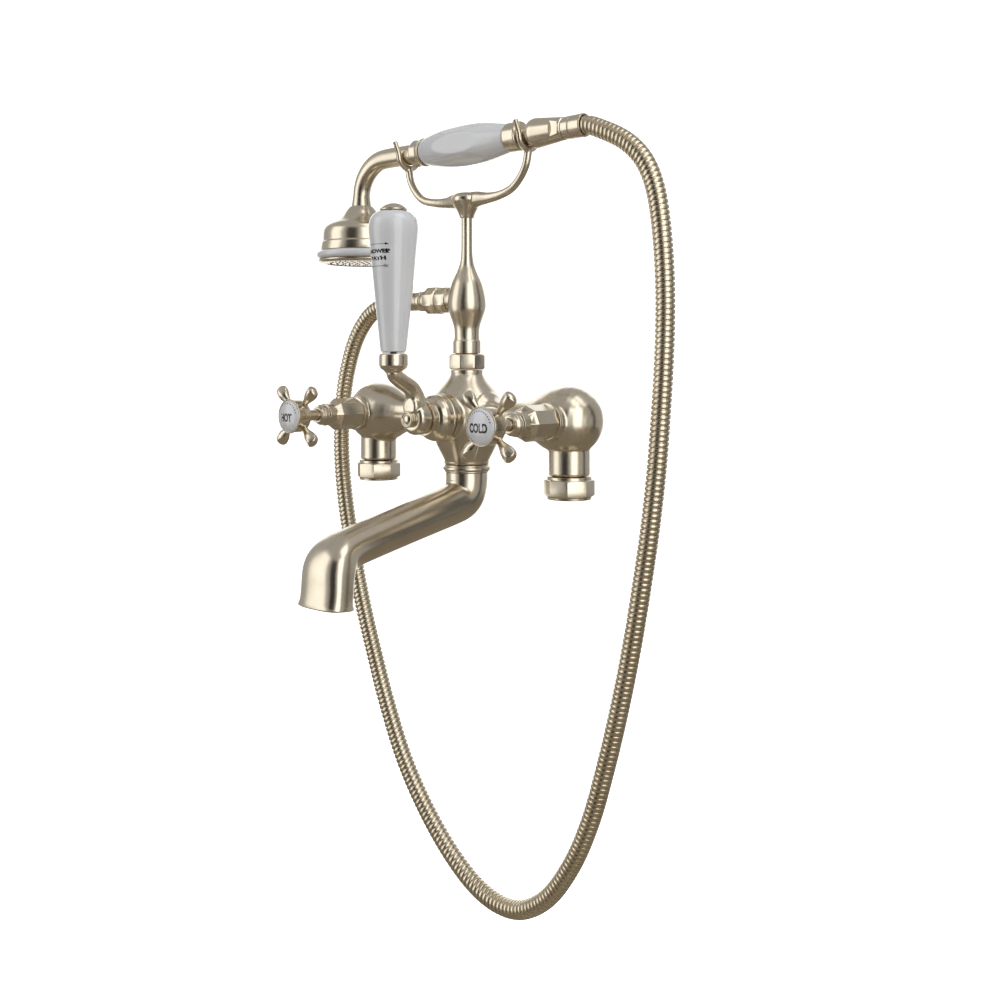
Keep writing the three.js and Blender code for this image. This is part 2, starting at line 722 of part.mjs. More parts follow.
// The spout's centre line: down, round the elbow, along the slope and down to the mouth.
function spoutPath() {
  const corner = axisHeight - spoutCorner;
  const tangent = spoutBend * Math.tan((Math.PI / 2 - spoutSlope) / 2);
  const along = (distance) => new THREE.Vector3(
    0, -distance * Math.cos(spoutSlope), corner - distance * Math.sin(spoutSlope));
  const mouthCorner = spoutReach / Math.cos(spoutSlope);
  const mouthTangent = 15;
  const path = new THREE.CurvePath();
  const start = new THREE.Vector3(0, 0, spoutTop);
  const bendStart = new THREE.Vector3(0, 0, corner + tangent);
  const mouthBendEnd = along(mouthCorner).add(new THREE.Vector3(0, 0, -mouthTangent));
  path.add(new THREE.LineCurve3(start, bendStart));
  path.add(new THREE.QuadraticBezierCurve3(bendStart, along(0), along(tangent)));
  path.add(new THREE.LineCurve3(along(tangent), along(mouthCorner - mouthTangent)));
  path.add(new THREE.QuadraticBezierCurve3(
    along(mouthCorner - mouthTangent), along(mouthCorner), mouthBendEnd));
  path.add(new THREE.LineCurve3(
    mouthBendEnd, new THREE.Vector3(0, -spoutReach - mouthLean, axisHeight - mouthDrop)));
  return path;
}

// Sections from the top to the lip: [curve, share of it, half width, half depth, squareness].
const spoutStations = [
  [0, 0, spoutTopRadius, spoutTopRadius, 2],
  [0, 1, spoutTopRadius, spoutTopRadius, 2],
  [1, 0.35, spoutTopRadius, spoutTopRadius + 0.2, 2],
  [1, 0.65, spoutTubeRadius + 1.5, spoutTubeRadius + 1.6, 2],
  [1, 1, spoutTubeRadius + 0.8, spoutTubeRadius + 0.8, 2],
  [2, 0.5, spoutTubeRadius, spoutTubeRadius - 0.2, 2],
  [2, 0.9, spoutTubeRadius + 0.8, spoutTubeRadius - 0.6, 2.1],
  [3, 0.2, spoutTubeRadius + 3, spoutTubeRadius - 1, 2.4],
  [3, 0.5, mouthWidth / 2 - 1.2, mouthDepth / 2 + 1.6, 2.9],
  [3, 0.8, mouthWidth / 2 - 0.6, mouthDepth / 2 + 0.3, 3.2],
  [4, 0, mouthWidth / 2 - 0.4, mouthDepth / 2 - 0.2, 3.4],
  [4, 0.6, mouthWidth / 2, mouthDepth / 2, 3.4],
  [4, 1, mouthWidth / 2 + 1, mouthDepth / 2 + 1.2, 3.4],
];

const flangeShare = 0.55;        // the waterway starts this far down the first straight

function spoutSkin(inset, extra) {
  const path = spoutPath();
  const rings = spoutStations.map(([piece, share, halfWidth, halfDepth, squareness], index) => {
    const curve = path.curves[piece];
    const place = index === 0 && inset > 0 ? flangeShare : share;
    return crossSection(
      curve.getPoint(place), curve.getTangent(place), new THREE.Vector3(1, 0, 0),
      halfWidth - inset, halfDepth - inset, squareness, 16);
  });
  if (extra > 0) {
    rings.push(rings.at(-1).map((point) => point.clone().add(new THREE.Vector3(0, 0, -extra))));
  }
  return skin(rings);
}

const clipRise = spoutShoulder + gap;
const oringHeight = barrelFoot + 5;

function spout() {
  const spigotTop = clipRise + 4;
  const groove = spigotRadius - 1;
  let body = solid(spoutSkin(0, 0));
  body = body.add(solid(turned([
    [0, spoutTop - 3], [spigotRadius, spoutTop - 3], [spigotRadius, oringHeight],
    [spigotRadius - 1.8, oringHeight], [spigotRadius - 1.8, oringHeight + 2.4],
    [spigotRadius, oringHeight + 2.4], [spigotRadius, clipRise - 0.1], [groove, clipRise - 0.1],
    [groove, clipRise + 1.7], [spigotRadius, clipRise + 1.7], [spigotRadius, spigotTop],
    [0, spigotTop],
  ])));
  body = body.subtract(solid(spoutSkin(wall, 2)));
  return body.subtract(solid(disc(spigotRadius - wall - 1.2, spoutTop - 5, spigotTop + 1)));
}

function spoutCollar() {
  const foot = spoutTop + gap;
  const top = foot + collarHeight;
  return ring([
    [spigotRadius + swivelGap, foot], [collarRadius - 2, foot], [collarRadius - 0.5, foot + 1.2],
    [collarRadius, foot + collarHeight / 2], [collarRadius - 0.5, top - 1.2],
    [collarRadius - 2, top], [spigotRadius + swivelGap, top],
  ]);
}

function addSpout() {
  add('spout', spout(), satinNickel());
  add('spout_collar', spoutCollar(), satinNickel());
  const clip = solid(washer(spigotRadius - 0.8, spigotRadius + 1.4, clipRise, clipRise + 1.5))
    .subtract(solid(new THREE.BoxGeometry(3, 8, 6).translate(0, spigotRadius, clipRise)));
  add('spout_circlip', clip, stainless());
  const oring = new THREE.TorusGeometry(spigotRadius - 0.9, 0.7, 6, 12);
  add('spout_oring', oring, blackRubber(), 0, 0, oringHeight + 1.2);
}

// ---- Riser column and hose outlet ----------------------------------------

const outletFace = columnBulbRadius + 1.2;

function riserColumn() {
  const h = columnFoot;
  let column = solid(turned([
    [0, axisHeight + 18], [columnTailRadius, axisHeight + 18], [columnTailRadius, h + gap],
    [10.8, h + gap], [10.8, h + 10], [10.1, h + 12.5], [9.8, h + 16.5], [10.3, h + 21],
    [12.8, h + 28], [columnBulbRadius - 0.5, h + 34], [columnBulbRadius, h + 38.5],
    [columnBulbRadius - 0.9, h + 46], [11.5, h + 56], [6.95, h + 66],
    [stemRadius + 0.4, h + 73.5], [stemRadius, h + 80], [stemRadius, stemTop], [0, stemTop],
  ]));
  column = column.add(solid(leftward(disc(9.2, 4, outletFace)).translate(0, 0, outletHeight)));
  column = column.subtract(solid(disc(columnBore, axisHeight + 17, outletHeight + 4)));
  return column.subtract(solid(leftward(disc(6.2, 0, outletFace + 1))
    .translate(0, 0, outletHeight)));
}

function lockNut() {
  const foot = barrelTop + gap;
  const top = columnFoot;
  const outside = solid(prism(columnNutAcross, foot, top)).intersect(solid(turned([
    [0, foot], [13.3, foot], [columnNutAcross / 2 + 0.1, foot + 1.6],
    [columnNutAcross / 2 + 0.1, top - 1.6], [13.3, top], [0, top],
  ])));
  return outside.subtract(solid(disc(columnTailRadius + gap, foot - 1, top + 1)));
}

const elbowLength = 11.7;        // octagonal outlet boss
const hoseNutLength = 12;
const sleeveStart = 46.6;
const hoseEnd = 75.6;

// The outlet boss screws into the column and carries the check valve.
function outletBoss() {
  const face = outletFace + gap;
  const outside = solid(prism(21.4, face, face + elbowLength)).intersect(solid(turned([
    [0, face], [9.6, face], [10.8, face + 1.4], [10.8, face + elbowLength - 1.4],
    [9.6, face + elbowLength], [0, face + elbowLength],
  ])));
  const spigot = solid(disc(6.2 - gap, 8, face + 1));
  const nose = solid(disc(7.4, face + elbowLength - 1, face + elbowLength + 6));
  return outside.add(spigot).add(nose)
    .subtract(solid(disc(4.6, 7, face + elbowLength + 7)));
}

// The hose's octagonal union nut, which turns on the hose tail.
function hoseNut() {
  const from = outletFace + gap + elbowLength + gap;
  const to = from + hoseNutLength;
  const outside = solid(prism(22.6, from, to, 8, 0.2)).intersect(solid(turned([
    [0, from], [10, from], [11.4, from + 1.4], [11.4, to - 2.4], [9.2, to], [0, to],
  ])));
  const bore = turned([
    [0, from - 1], [7.4 + gap, from - 1], [7.4 + gap, to - 3], [5.4, to - 3], [5.4, to + 1],
    [0, to + 1],
  ]);
  return outside.subtract(solid(bore));
}

function hoseTail() {
  const nutEnd = outletFace + 2 * gap + elbowLength + hoseNutLength;
  return ring([
    [3.6, nutEnd - 4.6], [7, nutEnd - 4.6], [7, nutEnd - 3 - gap], [5, nutEnd - 3 - gap],
    [5, nutEnd + gap], [8.6, nutEnd + gap], [8.6, nutEnd + 3], [7.2, sleeveStart],
    [7.9, sleeveStart + 0.8], [7.9, hoseEnd - 1.6], [7.2, hoseEnd - 0.4 - gap],
    [3.6, hoseEnd - 0.4 - gap],
  ]);
}

function checkValve() {
  return turned([
    [0, 12], [3.2, 12], [4.2, 13.4], [4.2, outletFace + 8], [2.4, outletFace + 10],
    [0, outletFace + 10],
  ]);
}

function addColumn() {
  add('riser_column', riserColumn(), satinNickel());
  add('column_lock_nut', lockNut(), satinNickel());
  const pieces = [
    ['outlet_boss', outletBoss(), satinNickel],
    ['outlet_check_valve', checkValve(), acetal],
    ['hose_nut', hoseNut(), satinNickel],
    ['hose_tail_sleeve', hoseTail(), satinNickel],
  ];
  for (const [name, shape, material] of pieces) {
    const geometry = shape instanceof THREE.BufferGeometry ? shape : geometryOf(shape);
    add(name, leftward(geometry), material(), 0, 0, outletHeight);
  }
  const washerFrom = outletFace + gap + elbowLength + 6 + gap;
  const hoseWasher = leftward(washer(4.2, 7.2, washerFrom, washerFrom + 1.0));
  add('hose_outlet_washer', hoseWasher, blackRubber(), 0, 0, outletHeight);
}

// ---- Cradle --------------------------------------------------------------

const forkClearance = 0.6;
const socketDepth = 10;          // how deep the stem sits in the cradle's hub

// A fork: a U of bar in the plane across the handset, with its ends curled slightly outwards.
function fork(holds) {
  const bend = holds + forkClearance + forkWire;
  const side = (sign) => [
    new THREE.Vector3(0, sign * bend * 0.62, -bend * 0.8),
    new THREE.Vector3(0, sign * (bend + 0.2), -bend * 0.24),
    new THREE.Vector3(0, sign * (bend + 2.2), prongRise * 0.4),
    new THREE.Vector3(0, sign * (bend + 4.4), prongRise),
  ];
  const curve = new THREE.CatmullRomCurve3([
    ...side(-1).reverse(), new THREE.Vector3(0, 0, -bend), ...side(1),
  ]);
  return solid(bar(curve, forkWire, 12, 6));
}

function cradle() {
  const foot = stemTop - socketDepth;
  const armHeight = foot + cradleHubHeight - 5.4;
  let body = solid(turned([
    [0, foot], [stemRadius + 1.2, foot], [8, foot + 6], [10.9, foot + 11], [12.2, foot + 13.6],
    [11.8, foot + 16], [8, foot + cradleHubHeight - 1], [0, foot + cradleHubHeight],
  ]));
  for (const side of [-1, 1]) {
    const holds = side < 0 ? gooseneckRadius : neckRadius;
    const reach = side < 0 ? cradleReachLeft : cradleReachRight;
    const forkRoot = handsetHeight - holds - forkClearance - forkWire;
    const curve = new THREE.CatmullRomCurve3([
      new THREE.Vector3(0, 0, armHeight),
      new THREE.Vector3(side * 16, 0, armHeight - 1),
      new THREE.Vector3(side * 33, 0, armHeight - 0.6),
      new THREE.Vector3(side * (reach - 12), 0, armHeight + 8),
      new THREE.Vector3(side * (reach - 3.6), 0, armHeight + 18),
      new THREE.Vector3(side * reach, 0, forkRoot),
    ]);
    body = body.add(solid(bar(curve, cradleWire, 10, 8)));
    body = body.add(fork(holds).translate([side * reach, 0, handsetHeight]));
  }
  return body.subtract(solid(disc(stemRadius + gap, foot - 1, stemTop + gap)));
}

// ---- Handset -------------------------------------------------------------

const bellTop = handsetHeight - gooseneckBend + 1.5;
const bellHeight = 46.4;
const seatInBell = 12.4;         // how deep the gooseneck sits in the bell
const neckEnd = gripFront - 4;   // end of the gooseneck's seat inside the front ferrule

// The bent tube from the front ferrule down to the head, tapering as it goes.
function gooseneck() {
  const front = neckEnd - gap;
  const foot = bellTop - seatInBell;
  const corner = new THREE.Vector3(-headReach + gooseneckBend, 0, handsetHeight - gooseneckBend);
  const quarterTurn = [0, 1, 2, 3, 4, 5, 6].map((step) => {
    const angle = step * Math.PI / 12;
    const outward = new THREE.Vector3(-Math.sin(angle), 0, Math.cos(angle));
    const along = new THREE.Vector3(-Math.cos(angle), 0, -Math.sin(angle));
    return [corner.clone().addScaledVector(outward, gooseneckBend), along];
  });
  const tube = (overrun, radiusAt) => {
    const stations = [
      [new THREE.Vector3(front + overrun, 0, handsetHeight), new THREE.Vector3(-1, 0, 0)],
      ...quarterTurn,
      [new THREE.Vector3(-headReach, 0, foot - overrun), new THREE.Vector3(0, 0, -1)],
    ];
    return solid(skin(stations.map(([point, along], i) => crossSection(
      point, along, new THREE.Vector3(0, 1, 0), radiusAt(i), radiusAt(i), 2, 14))));
  };
  const taper = (gooseneckEndRadius - gooseneckRadius) / quarterTurn.length;
  const outside = tube(0, (i) => gooseneckRadius + taper * Math.min(i, quarterTurn.length));
  return outside.subtract(tube(1, () => gooseneckBore));
}

// The turned bell: a collar, a sloping shoulder and two stepped tiers over the rose.
function headBell() {
  const z = bellTop;
  const outer = [
    [gooseneckEndRadius + 2 * gap, z], [8.3, z], [8.6, z - 8.6], [11.6, z - 10], [14, z - 15],
    [19, z - 19.4], [26, z - 22.4], [30.6, z - 25.4], [32.4, z - 30], [32.6, z - 38.6],
    [headRadius - 0.6, z - 39.6], [headRadius, z - bellHeight], [headRadius - 2, z - bellHeight],
  ];
  const inner = [
    [headRadius - 2, z - bellHeight + 3], [headRadius - 4.6, z - bellHeight + 3],
    [headRadius - 4.6, z - 32], [25, z - 26], [12, z - 21.6], [5, z - 17.4],
    [5, z - seatInBell - gap], [gooseneckEndRadius + 2 * gap, z - seatInBell - gap],
  ];
  return ring([...outer, ...inner], 16);
}

const roseTop = bellTop - bellHeight - gap;
const roseHeight = 7;

function porcelainRing() {
  const z = roseTop;
  return ring([
    [30, z], [roseRadius - 2.4, z], [roseRadius - 0.4, z - 1.8], [roseRadius, z - roseHeight / 2],
    [roseRadius - 0.4, z - roseHeight + 1.8], [roseRadius - 2.4, z - roseHeight],
    [30, z - roseHeight],
  ], 16);
}

const rimTop = roseTop - roseHeight - gap;
const rimLip = 1.2;

// The chromed face ring that screws up through the porcelain and clamps it.
function faceRim() {
  const z = rimTop;
  return ring([
    [26.4, roseTop - 1], [29.6, roseTop - 1], [29.6, z], [36.4, z], [36, z - 1.5],
    [34, z - 2.9], [30.6, z - 3.2], [30.2, z - rimLip], [26.4, z - rimLip],
  ], 16);
}

// The spray plate with rings of nozzles drilled through it.
function sprayPlate() {
  const z = rimTop - rimLip - gap;
  let plate = solid(turned([
    [0, z], [29.8, z], [29.8, z - 1.2], [14, z - 1.9], [0, z - 2.2],
  ], 16));
  const rows = [[8, 4], [20, 8]];
  for (const [radius, count] of rows) {
    for (let i = 0; i < count; i += 1) {
      const angle = twoPi * i / count;
      const hole = solid(disc(1.1, z - 5, z + 1, 5));
      plate = plate.subtract(hole.translate([radius * Math.cos(angle), radius * Math.sin(angle), 0]));
    }
  }
  return plate;
}

// The porcelain grip, bored for the stem tube.
function porcelainGrip() {
  const length = gripRear - gripFront;
  const swell = [
    [0.02, 10.4], [0.14, 12.6], [0.3, 15], [0.48, gripRadius], [0.64, 15.4], [0.8, 13.7],
    [0.94, 11.5], [0.985, 10.8],
  ];
  return ring([
    [gripBore, gripFront], [9.6, gripFront],
    ...swell.map(([share, radius]) => [radius, gripFront + share * length]),
    [10.2, gripRear], [gripBore, gripRear],
  ]);
}

// Tube through the grip that joins the gooseneck to the hose's cone nut.
function stemTube() {
  return washer(4.2, stemTubeRadius, neckEnd, coneNutStart + 9);
}

function frontFerrule() {
  const to = gripFront - gap;
  const from = to - 11;
  return ring([
    [gooseneckRadius + gap, from], [10, from], [11, from + 1.6], [10.4, from + 6],
    [11.2, to - 0.8], [10.4, to], [stemTubeRadius + gap, to], [stemTubeRadius + gap, neckEnd],
    [gooseneckRadius + gap, neckEnd],
  ]);
}

// The rear ferrule, with the neck that lies in the cradle's fork.
function rearFerrule() {
  const from = gripRear + gap;
  return ring([
    [stemTubeRadius + gap, from], [10.4, from], [11, from + 1], [10.8, from + 11.4],
    [neckRadius, from + 12.4], [neckRadius, coneNutStart - gap],
    [stemTubeRadius + gap, coneNutStart - gap],
  ]);
}

const flatAcross = 14.6;         // the cone nut's pair of spanner flats
const flatLength = 7;

// The conical nut on the hose's upper end, with two spanner flats near its end.
function coneNut() {
  const from = coneNutStart;
  const to = from + coneNutLength;
  let nut = solid(ring([
    [stemTubeRadius + gap, from], [9.4, from], [11, from + 3], [11.1, from + 5.4],
    [8, to - 0.6], [7.4, to], [4.2, to], [4.2, from + 11], [stemTubeRadius + gap, from + 11],
  ]));
  for (const side of [-1, 1]) {
    const cut = new THREE.BoxGeometry(20, 8, flatLength)
      .translate(0, side * (flatAcross / 2 + 4), to - 2.6 - flatLength / 2);
    nut = nut.subtract(solid(cut));
  }
  return geometryOf(nut);
}

const ringFerruleEnd = coneNutStart + coneNutLength + 13.6;

function ringFerrule() {
  const from = coneNutStart + coneNutLength + gap;
  return ring([
    [3.4, from], [7.2, from], [8.3, from + 1.2], [8.3, ringFerruleEnd - 1],
    [7.4, ringFerruleEnd], [3.4, ringFerruleEnd],
  ]);
}

function addHandset() {
  add('handset_gooseneck', gooseneck(), satinNickel());
  const head = [
    ['head_bell', headBell(), satinNickel],
    ['porcelain_rose_ring', porcelainRing(), porcelain],
    ['spray_plate', sprayPlate(), satinNickel],
    ['face_rim', faceRim(), satinNickel],
  ];
  for (const [name, shape, material] of head) {
    add(name, shape, material(), -headReach);
  }
  const line = [
    ['front_ferrule', frontFerrule(), satinNickel],
    ['porcelain_grip', porcelainGrip(), porcelain],
    ['handset_stem_tube', stemTube(), rawBrass],
    ['rear_ferrule', rearFerrule(), satinNickel],
    ['hose_cone_nut', coneNut(), satinNickel],
    ['hose_ring_ferrule', ringFerrule(), satinNickel],
  ];
  for (const [name, shape, material] of line) {
    add(name, rightward(shape), material(), 0, 0, handsetHeight);
  }
}

// ---- Hose ----------------------------------------------------------------

const fadeOver = 16;             // points over which the route takes up a moved end
const routeHalfSpacing = 101.6;  // half the inlet spacing that the route was drawn round

// The route's two ends stay with the ring ferrule and the outlet's sleeve, and its loop spreads
// with the inlets, so that it still hangs clear of the elbows.
function hose() {
  const last = hoseRoute.length - 1;
  const handsetEnd = [ringFerruleEnd + 0.6 - hoseRoute[0][0], handsetHeight - hoseRoute[0][1]];
  const outletEnd = [-hoseEnd - 0.4 - hoseRoute[last][0], outletHeight - hoseRoute[last][1]];
  const points = hoseRoute.map(([x, z], i) => {
    const near = Math.min(1, Math.max(0, 1 - (i - 2) / fadeOver));
    const far = Math.min(1, Math.max(0, 1 - (last - 2 - i) / fadeOver));
    const beside = Math.min(1, Math.max(-1, x / routeHalfSpacing));
    const held = i < 3 || i > last - 3 ? 0 : 1;
    const spread = held * beside * Math.max(0, halfSpacing - routeHalfSpacing);
    return new THREE.Vector3(
      x + spread + near * handsetEnd[0] + far * outletEnd[0], 0,
      z + near * handsetEnd[1] + far * outletEnd[1]);
  });
  const curve = new THREE.CatmullRomCurve3(points, false, 'centripetal');
  return bar(curve, hoseRadius, 46, 8);
}

// ---- Assembly ------------------------------------------------------------

add('mixer_body', mixerBody(), satinNickel());
for (const [name, side] of [['hot', -1], ['cold', 1]]) {
  addUnion(name, side * halfSpacing);
  addValve(name, side * halfSpacing);
}
addDiverter();
addSpout();
addColumn();
add('cradle', cradle(), satinNickel());
addHandset();
add('hose', hose(), satinNickel());

export default model;
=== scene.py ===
# %% [markdown]
# # A wall mounted bath faucet in satin nickel and porcelain
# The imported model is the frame: every piece below is in its metres and its axes, +Z up, +Y into the wall.
# The pieces are shaped here with Blender's own tools, and each one rides on the part it belongs to.

# %% Load the frame
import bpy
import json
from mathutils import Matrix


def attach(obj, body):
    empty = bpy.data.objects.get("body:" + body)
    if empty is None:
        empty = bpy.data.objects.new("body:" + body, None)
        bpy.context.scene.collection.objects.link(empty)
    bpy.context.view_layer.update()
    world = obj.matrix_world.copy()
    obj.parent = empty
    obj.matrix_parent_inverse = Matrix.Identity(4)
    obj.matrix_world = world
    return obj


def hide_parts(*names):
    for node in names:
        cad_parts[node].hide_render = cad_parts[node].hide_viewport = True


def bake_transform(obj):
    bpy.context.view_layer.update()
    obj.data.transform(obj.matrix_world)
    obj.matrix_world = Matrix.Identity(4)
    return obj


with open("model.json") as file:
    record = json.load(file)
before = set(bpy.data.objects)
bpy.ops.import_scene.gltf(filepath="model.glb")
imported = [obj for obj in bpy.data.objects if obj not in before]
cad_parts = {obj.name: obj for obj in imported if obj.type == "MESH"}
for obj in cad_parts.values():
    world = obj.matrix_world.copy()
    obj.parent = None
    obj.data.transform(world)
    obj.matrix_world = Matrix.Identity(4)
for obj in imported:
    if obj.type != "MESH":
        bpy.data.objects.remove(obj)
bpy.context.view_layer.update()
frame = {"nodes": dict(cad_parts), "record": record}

# %% Tools of the trade
import json
from math import cos, pi, radians, sin, sqrt, tan

import bmesh
import bpy
import numpy as np
from mathutils import Vector

MM = 0.001
UP, FRONT = Vector((0, 0, 1)), Vector((0, -1, 0))
RIGHT, LEFT = Vector((1, 0, 0)), Vector((-1, 0, 0))

# %% [markdown]
# ## Camera
# The faucet is seen level, from its right-hand front, with the middle of the picture a little below the lens.
# A view camera does that with its rising back. The lens shift does the same here, so uprights stay upright.

# %% Camera
EYE = Vector((0.6127, -0.6444, 0.0926))
LOOK = Vector((-0.6677, 0.7444, 0))
bpy.ops.object.camera_add(location=EYE, rotation=LOOK.to_track_quat("-Z", "Y").to_euler())
camera = bpy.context.object
camera.data.lens = 41.08
camera.data.sensor_width = 36
camera.data.shift_y = -0.1411
bpy.context.scene.camera = camera
print("camera at", tuple(round(v, 4) for v in camera.location))

# %% [markdown]
# ## Curves through points
# A bent tube, a hose and the outline of a turned piece are all smooth lines through a few chosen points.
# A centripetal spline passes through every point and never loops between close ones, which suits all three.

# %% One spline for tubes, hoses and outlines
def flowing(points, step=1.0):
    """Points at most step apart, on the smooth line through the given ones."""
    p = [np.array(q, float) for q in points]
    p = [2 * p[0] - p[1], *p, 2 * p[-1] - p[-2]]
    line = [p[1]]
    for a, b, c, d in zip(p, p[1:], p[2:], p[3:]):
        t1 = sqrt(np.linalg.norm(b - a))
        t2 = t1 + sqrt(np.linalg.norm(c - b))
        t3 = t2 + sqrt(np.linalg.norm(d - c))
        count = max(2, round(np.linalg.norm(c - b) / step))
        for t in np.linspace(t1, t2, count + 1)[1:]:
            ab = ((t1 - t) * a + t * b) / t1
            bc = ((t2 - t) * b + (t - t1) * c) / (t2 - t1)
            cd = ((t3 - t) * c + (t - t2) * d) / (t3 - t2)
            abc = ((t2 - t) * ab + t * bc) / t2
            bcd = ((t3 - t) * bc + (t - t1) * cd) / (t3 - t1)
            line.append(((t2 - t) * abc + (t - t1) * bcd) / (t2 - t1))
    return [tuple(float(x) for x in q) for q in line]


def rounded(points, fillet=0.5, steps=3):
    """The same outline with each inner corner turned into a small arc."""
    corners = [Vector(q) for q in points]
    line = [tuple(corners[0])]
    for a, b, c in zip(corners, corners[1:], corners[2:]):
        cut = min(fillet, 0.45 * (b - a).length, 0.45 * (c - b).length)
        start, end = b + (a - b).normalized() * cut, b + (c - b).normalized() * cut
        for i in range(steps + 1):
            t = i / steps
            line.append(tuple(start * (1 - t) ** 2 + b * 2 * t * (1 - t) + end * t ** 2))
    return line + [tuple(corners[-1])]


# %% [markdown]
# ## Hose
# A shower hose of this kind is a brass strip wound into a helix, each turn hooked into the next.
# What shows is a row of bands with a dark groove between them, less than four millimetres apart.
# It hangs from the handset in one long loop and comes back up to the outlet on the column.
# The route is a list of points, and the bands are a helix swept along it.

# %% The route of the hose, in millimetres
HOSE_ROUTE = [
    (112.8, 259), (115.6, 258.9), (123, 257.3), (131, 253.9), (139.5, 250), (148.6, 245), (157.6, 238.2),
    (165.6, 229.6), (172, 218.4), (176.8, 204), (180, 186), (182.4, 163), (183.7, 135), (183, 100),
    (180.5, 60), (176.8, 18), (171.5, -22), (164.5, -63), (156, -107), (146, -150), (134, -194),
    (120, -237), (103, -272.5), (80, -303), (55, -319), (33, -321.3), (10, -315), (-18, -296.5),
    (-47, -267.5), (-71, -234.5), (-92, -192.5), (-109, -150), (-123, -111), (-135, -69),
    (-144.5, -28), (-149.3, 12), (-148.5, 48), (-142, 82), (-129.5, 111), (-113, 129), (-97, 136.6),
    (-82, 139), (-76, 139),
]
HOSE_RADIUS = 6.9
BAND_PITCH = 3.7
GROOVE_DEPTH = 1.0
# share of the pitch, share of the groove's depth
BAND_PROFILE = [(0, 1), (0.13, 1), (0.2, 0.25), (0.32, 0), (0.8, 0), (0.93, 0.25)]
HOSE_SIDES = 20

hose_line = np.array(flowing([(x, 0, z) for x, z in HOSE_ROUTE], 2.0))
hose_steps = np.linalg.norm(np.diff(hose_line, axis=0), axis=1)
hose_travel = np.concatenate([[0], np.cumsum(hose_steps)])
hose_length = float(hose_travel[-1])
print(f"hose {hose_length:.0f} mm long, {hose_length / BAND_PITCH:.0f} bands")


# %% Sweep the bands along the route
def hose_mesh():
    turns = int(hose_length / BAND_PITCH)
    shares = np.array([share for share, _ in BAND_PROFILE])
    depths = np.array([depth for _, depth in BAND_PROFILE])
    starts = (np.arange(turns)[:, None] + shares[None, :]).ravel() * BAND_PITCH
    radii = HOSE_RADIUS - GROOVE_DEPTH * np.tile(depths, turns)
    turn = np.arange(HOSE_SIDES) / HOSE_SIDES
    travel = np.minimum(starts[:, None] + turn[None, :] * BAND_PITCH, hose_length)
    x = np.interp(travel, hose_travel, hose_line[:, 0])
    z = np.interp(travel, hose_travel, hose_line[:, 2])
    ahead = np.minimum(travel + 1, hose_length)
    behind = np.maximum(travel - 1, 0)
    dx = np.interp(ahead, hose_travel, hose_line[:, 0]) - np.interp(behind, hose_travel, hose_line[:, 0])
    dz = np.interp(ahead, hose_travel, hose_line[:, 2]) - np.interp(behind, hose_travel, hose_line[:, 2])
    size = np.hypot(dx, dz)
    out = radii[:, None] * np.cos(2 * pi * turn)[None, :]
    side = radii[:, None] * np.sin(2 * pi * turn)[None, :]
    points = np.stack([x + out * dz / size, side, z - out * dx / size], axis=-1) * MM
    rings = len(starts)
    faces = []
    for i in range(rings - 1):
        for j in range(HOSE_SIDES - 1):
            k = i * HOSE_SIDES + j
            faces.append((k, k + 1, k + 1 + HOSE_SIDES, k + HOSE_SIDES))
    # where one turn of the strip meets the next, the seam steps on by one pitch
    stride = len(BAND_PROFILE)
    for i in range(rings - 1 - stride):
        last, first = i * HOSE_SIDES + HOSE_SIDES - 1, (i + stride) * HOSE_SIDES
        faces.append((last, first, first + HOSE_SIDES, last + HOSE_SIDES))
    mesh = bpy.data.meshes.new("hose_strip")
    mesh.from_pydata([tuple(q) for q in points.reshape(-1, 3)], [], faces)
    return mesh


hose = bpy.data.objects.new("metal_hose", hose_mesh())
bpy.context.collection.objects.link(hose)
print("hose faces", len(hose.data.polygons))

# %% [markdown]
# ## Ways of making
# Most of a faucet is turned on a lathe. An outline is drawn point by point by extruding one vertex,
# and the spin tool sweeps it round its axis. Bent tubes are curves with a round bevel, made into a mesh.
# Nuts are eight-sided bars whose corners a lathe has taken off: a boolean keeps what both share. Bonnets are spun
# in eight steps, which gives their eight sides.

# %% Helpers for selecting and finishing
def alone(obj):
    bpy.ops.object.select_all(action="DESELECT")
    obj.select_set(True)
    bpy.context.view_layer.objects.active = obj


def shaded(obj, angle=32):
    alone(obj)
    bpy.ops.object.shade_smooth_by_angle(angle=radians(angle))
    return obj


def tidy(obj):
    """Doubles merged and faces turned outwards."""
    alone(obj)
    bpy.ops.object.mode_set(mode="EDIT")
    bpy.ops.mesh.select_all(action="SELECT")
    bpy.ops.mesh.remove_doubles(threshold=0.00001)
    bpy.ops.mesh.normals_make_consistent(inside=False)
    bpy.ops.object.mode_set(mode="OBJECT")
    return obj


def finish_with(obj, kind, **settings):
    """Adds one modifier with its settings and applies it."""
    alone(obj)
    bpy.ops.object.modifier_add(type=kind)
    for key, value in settings.items():
        setattr(obj.modifiers[-1], key, value)
    bpy.ops.object.modifier_apply(modifier=obj.modifiers[-1].name)
    return obj


def joined(name, pieces):
    alone(pieces[0])
    for piece in pieces:
        piece.select_set(True)
    bpy.ops.object.join()
    bpy.context.object.name = name
    return bpy.context.object


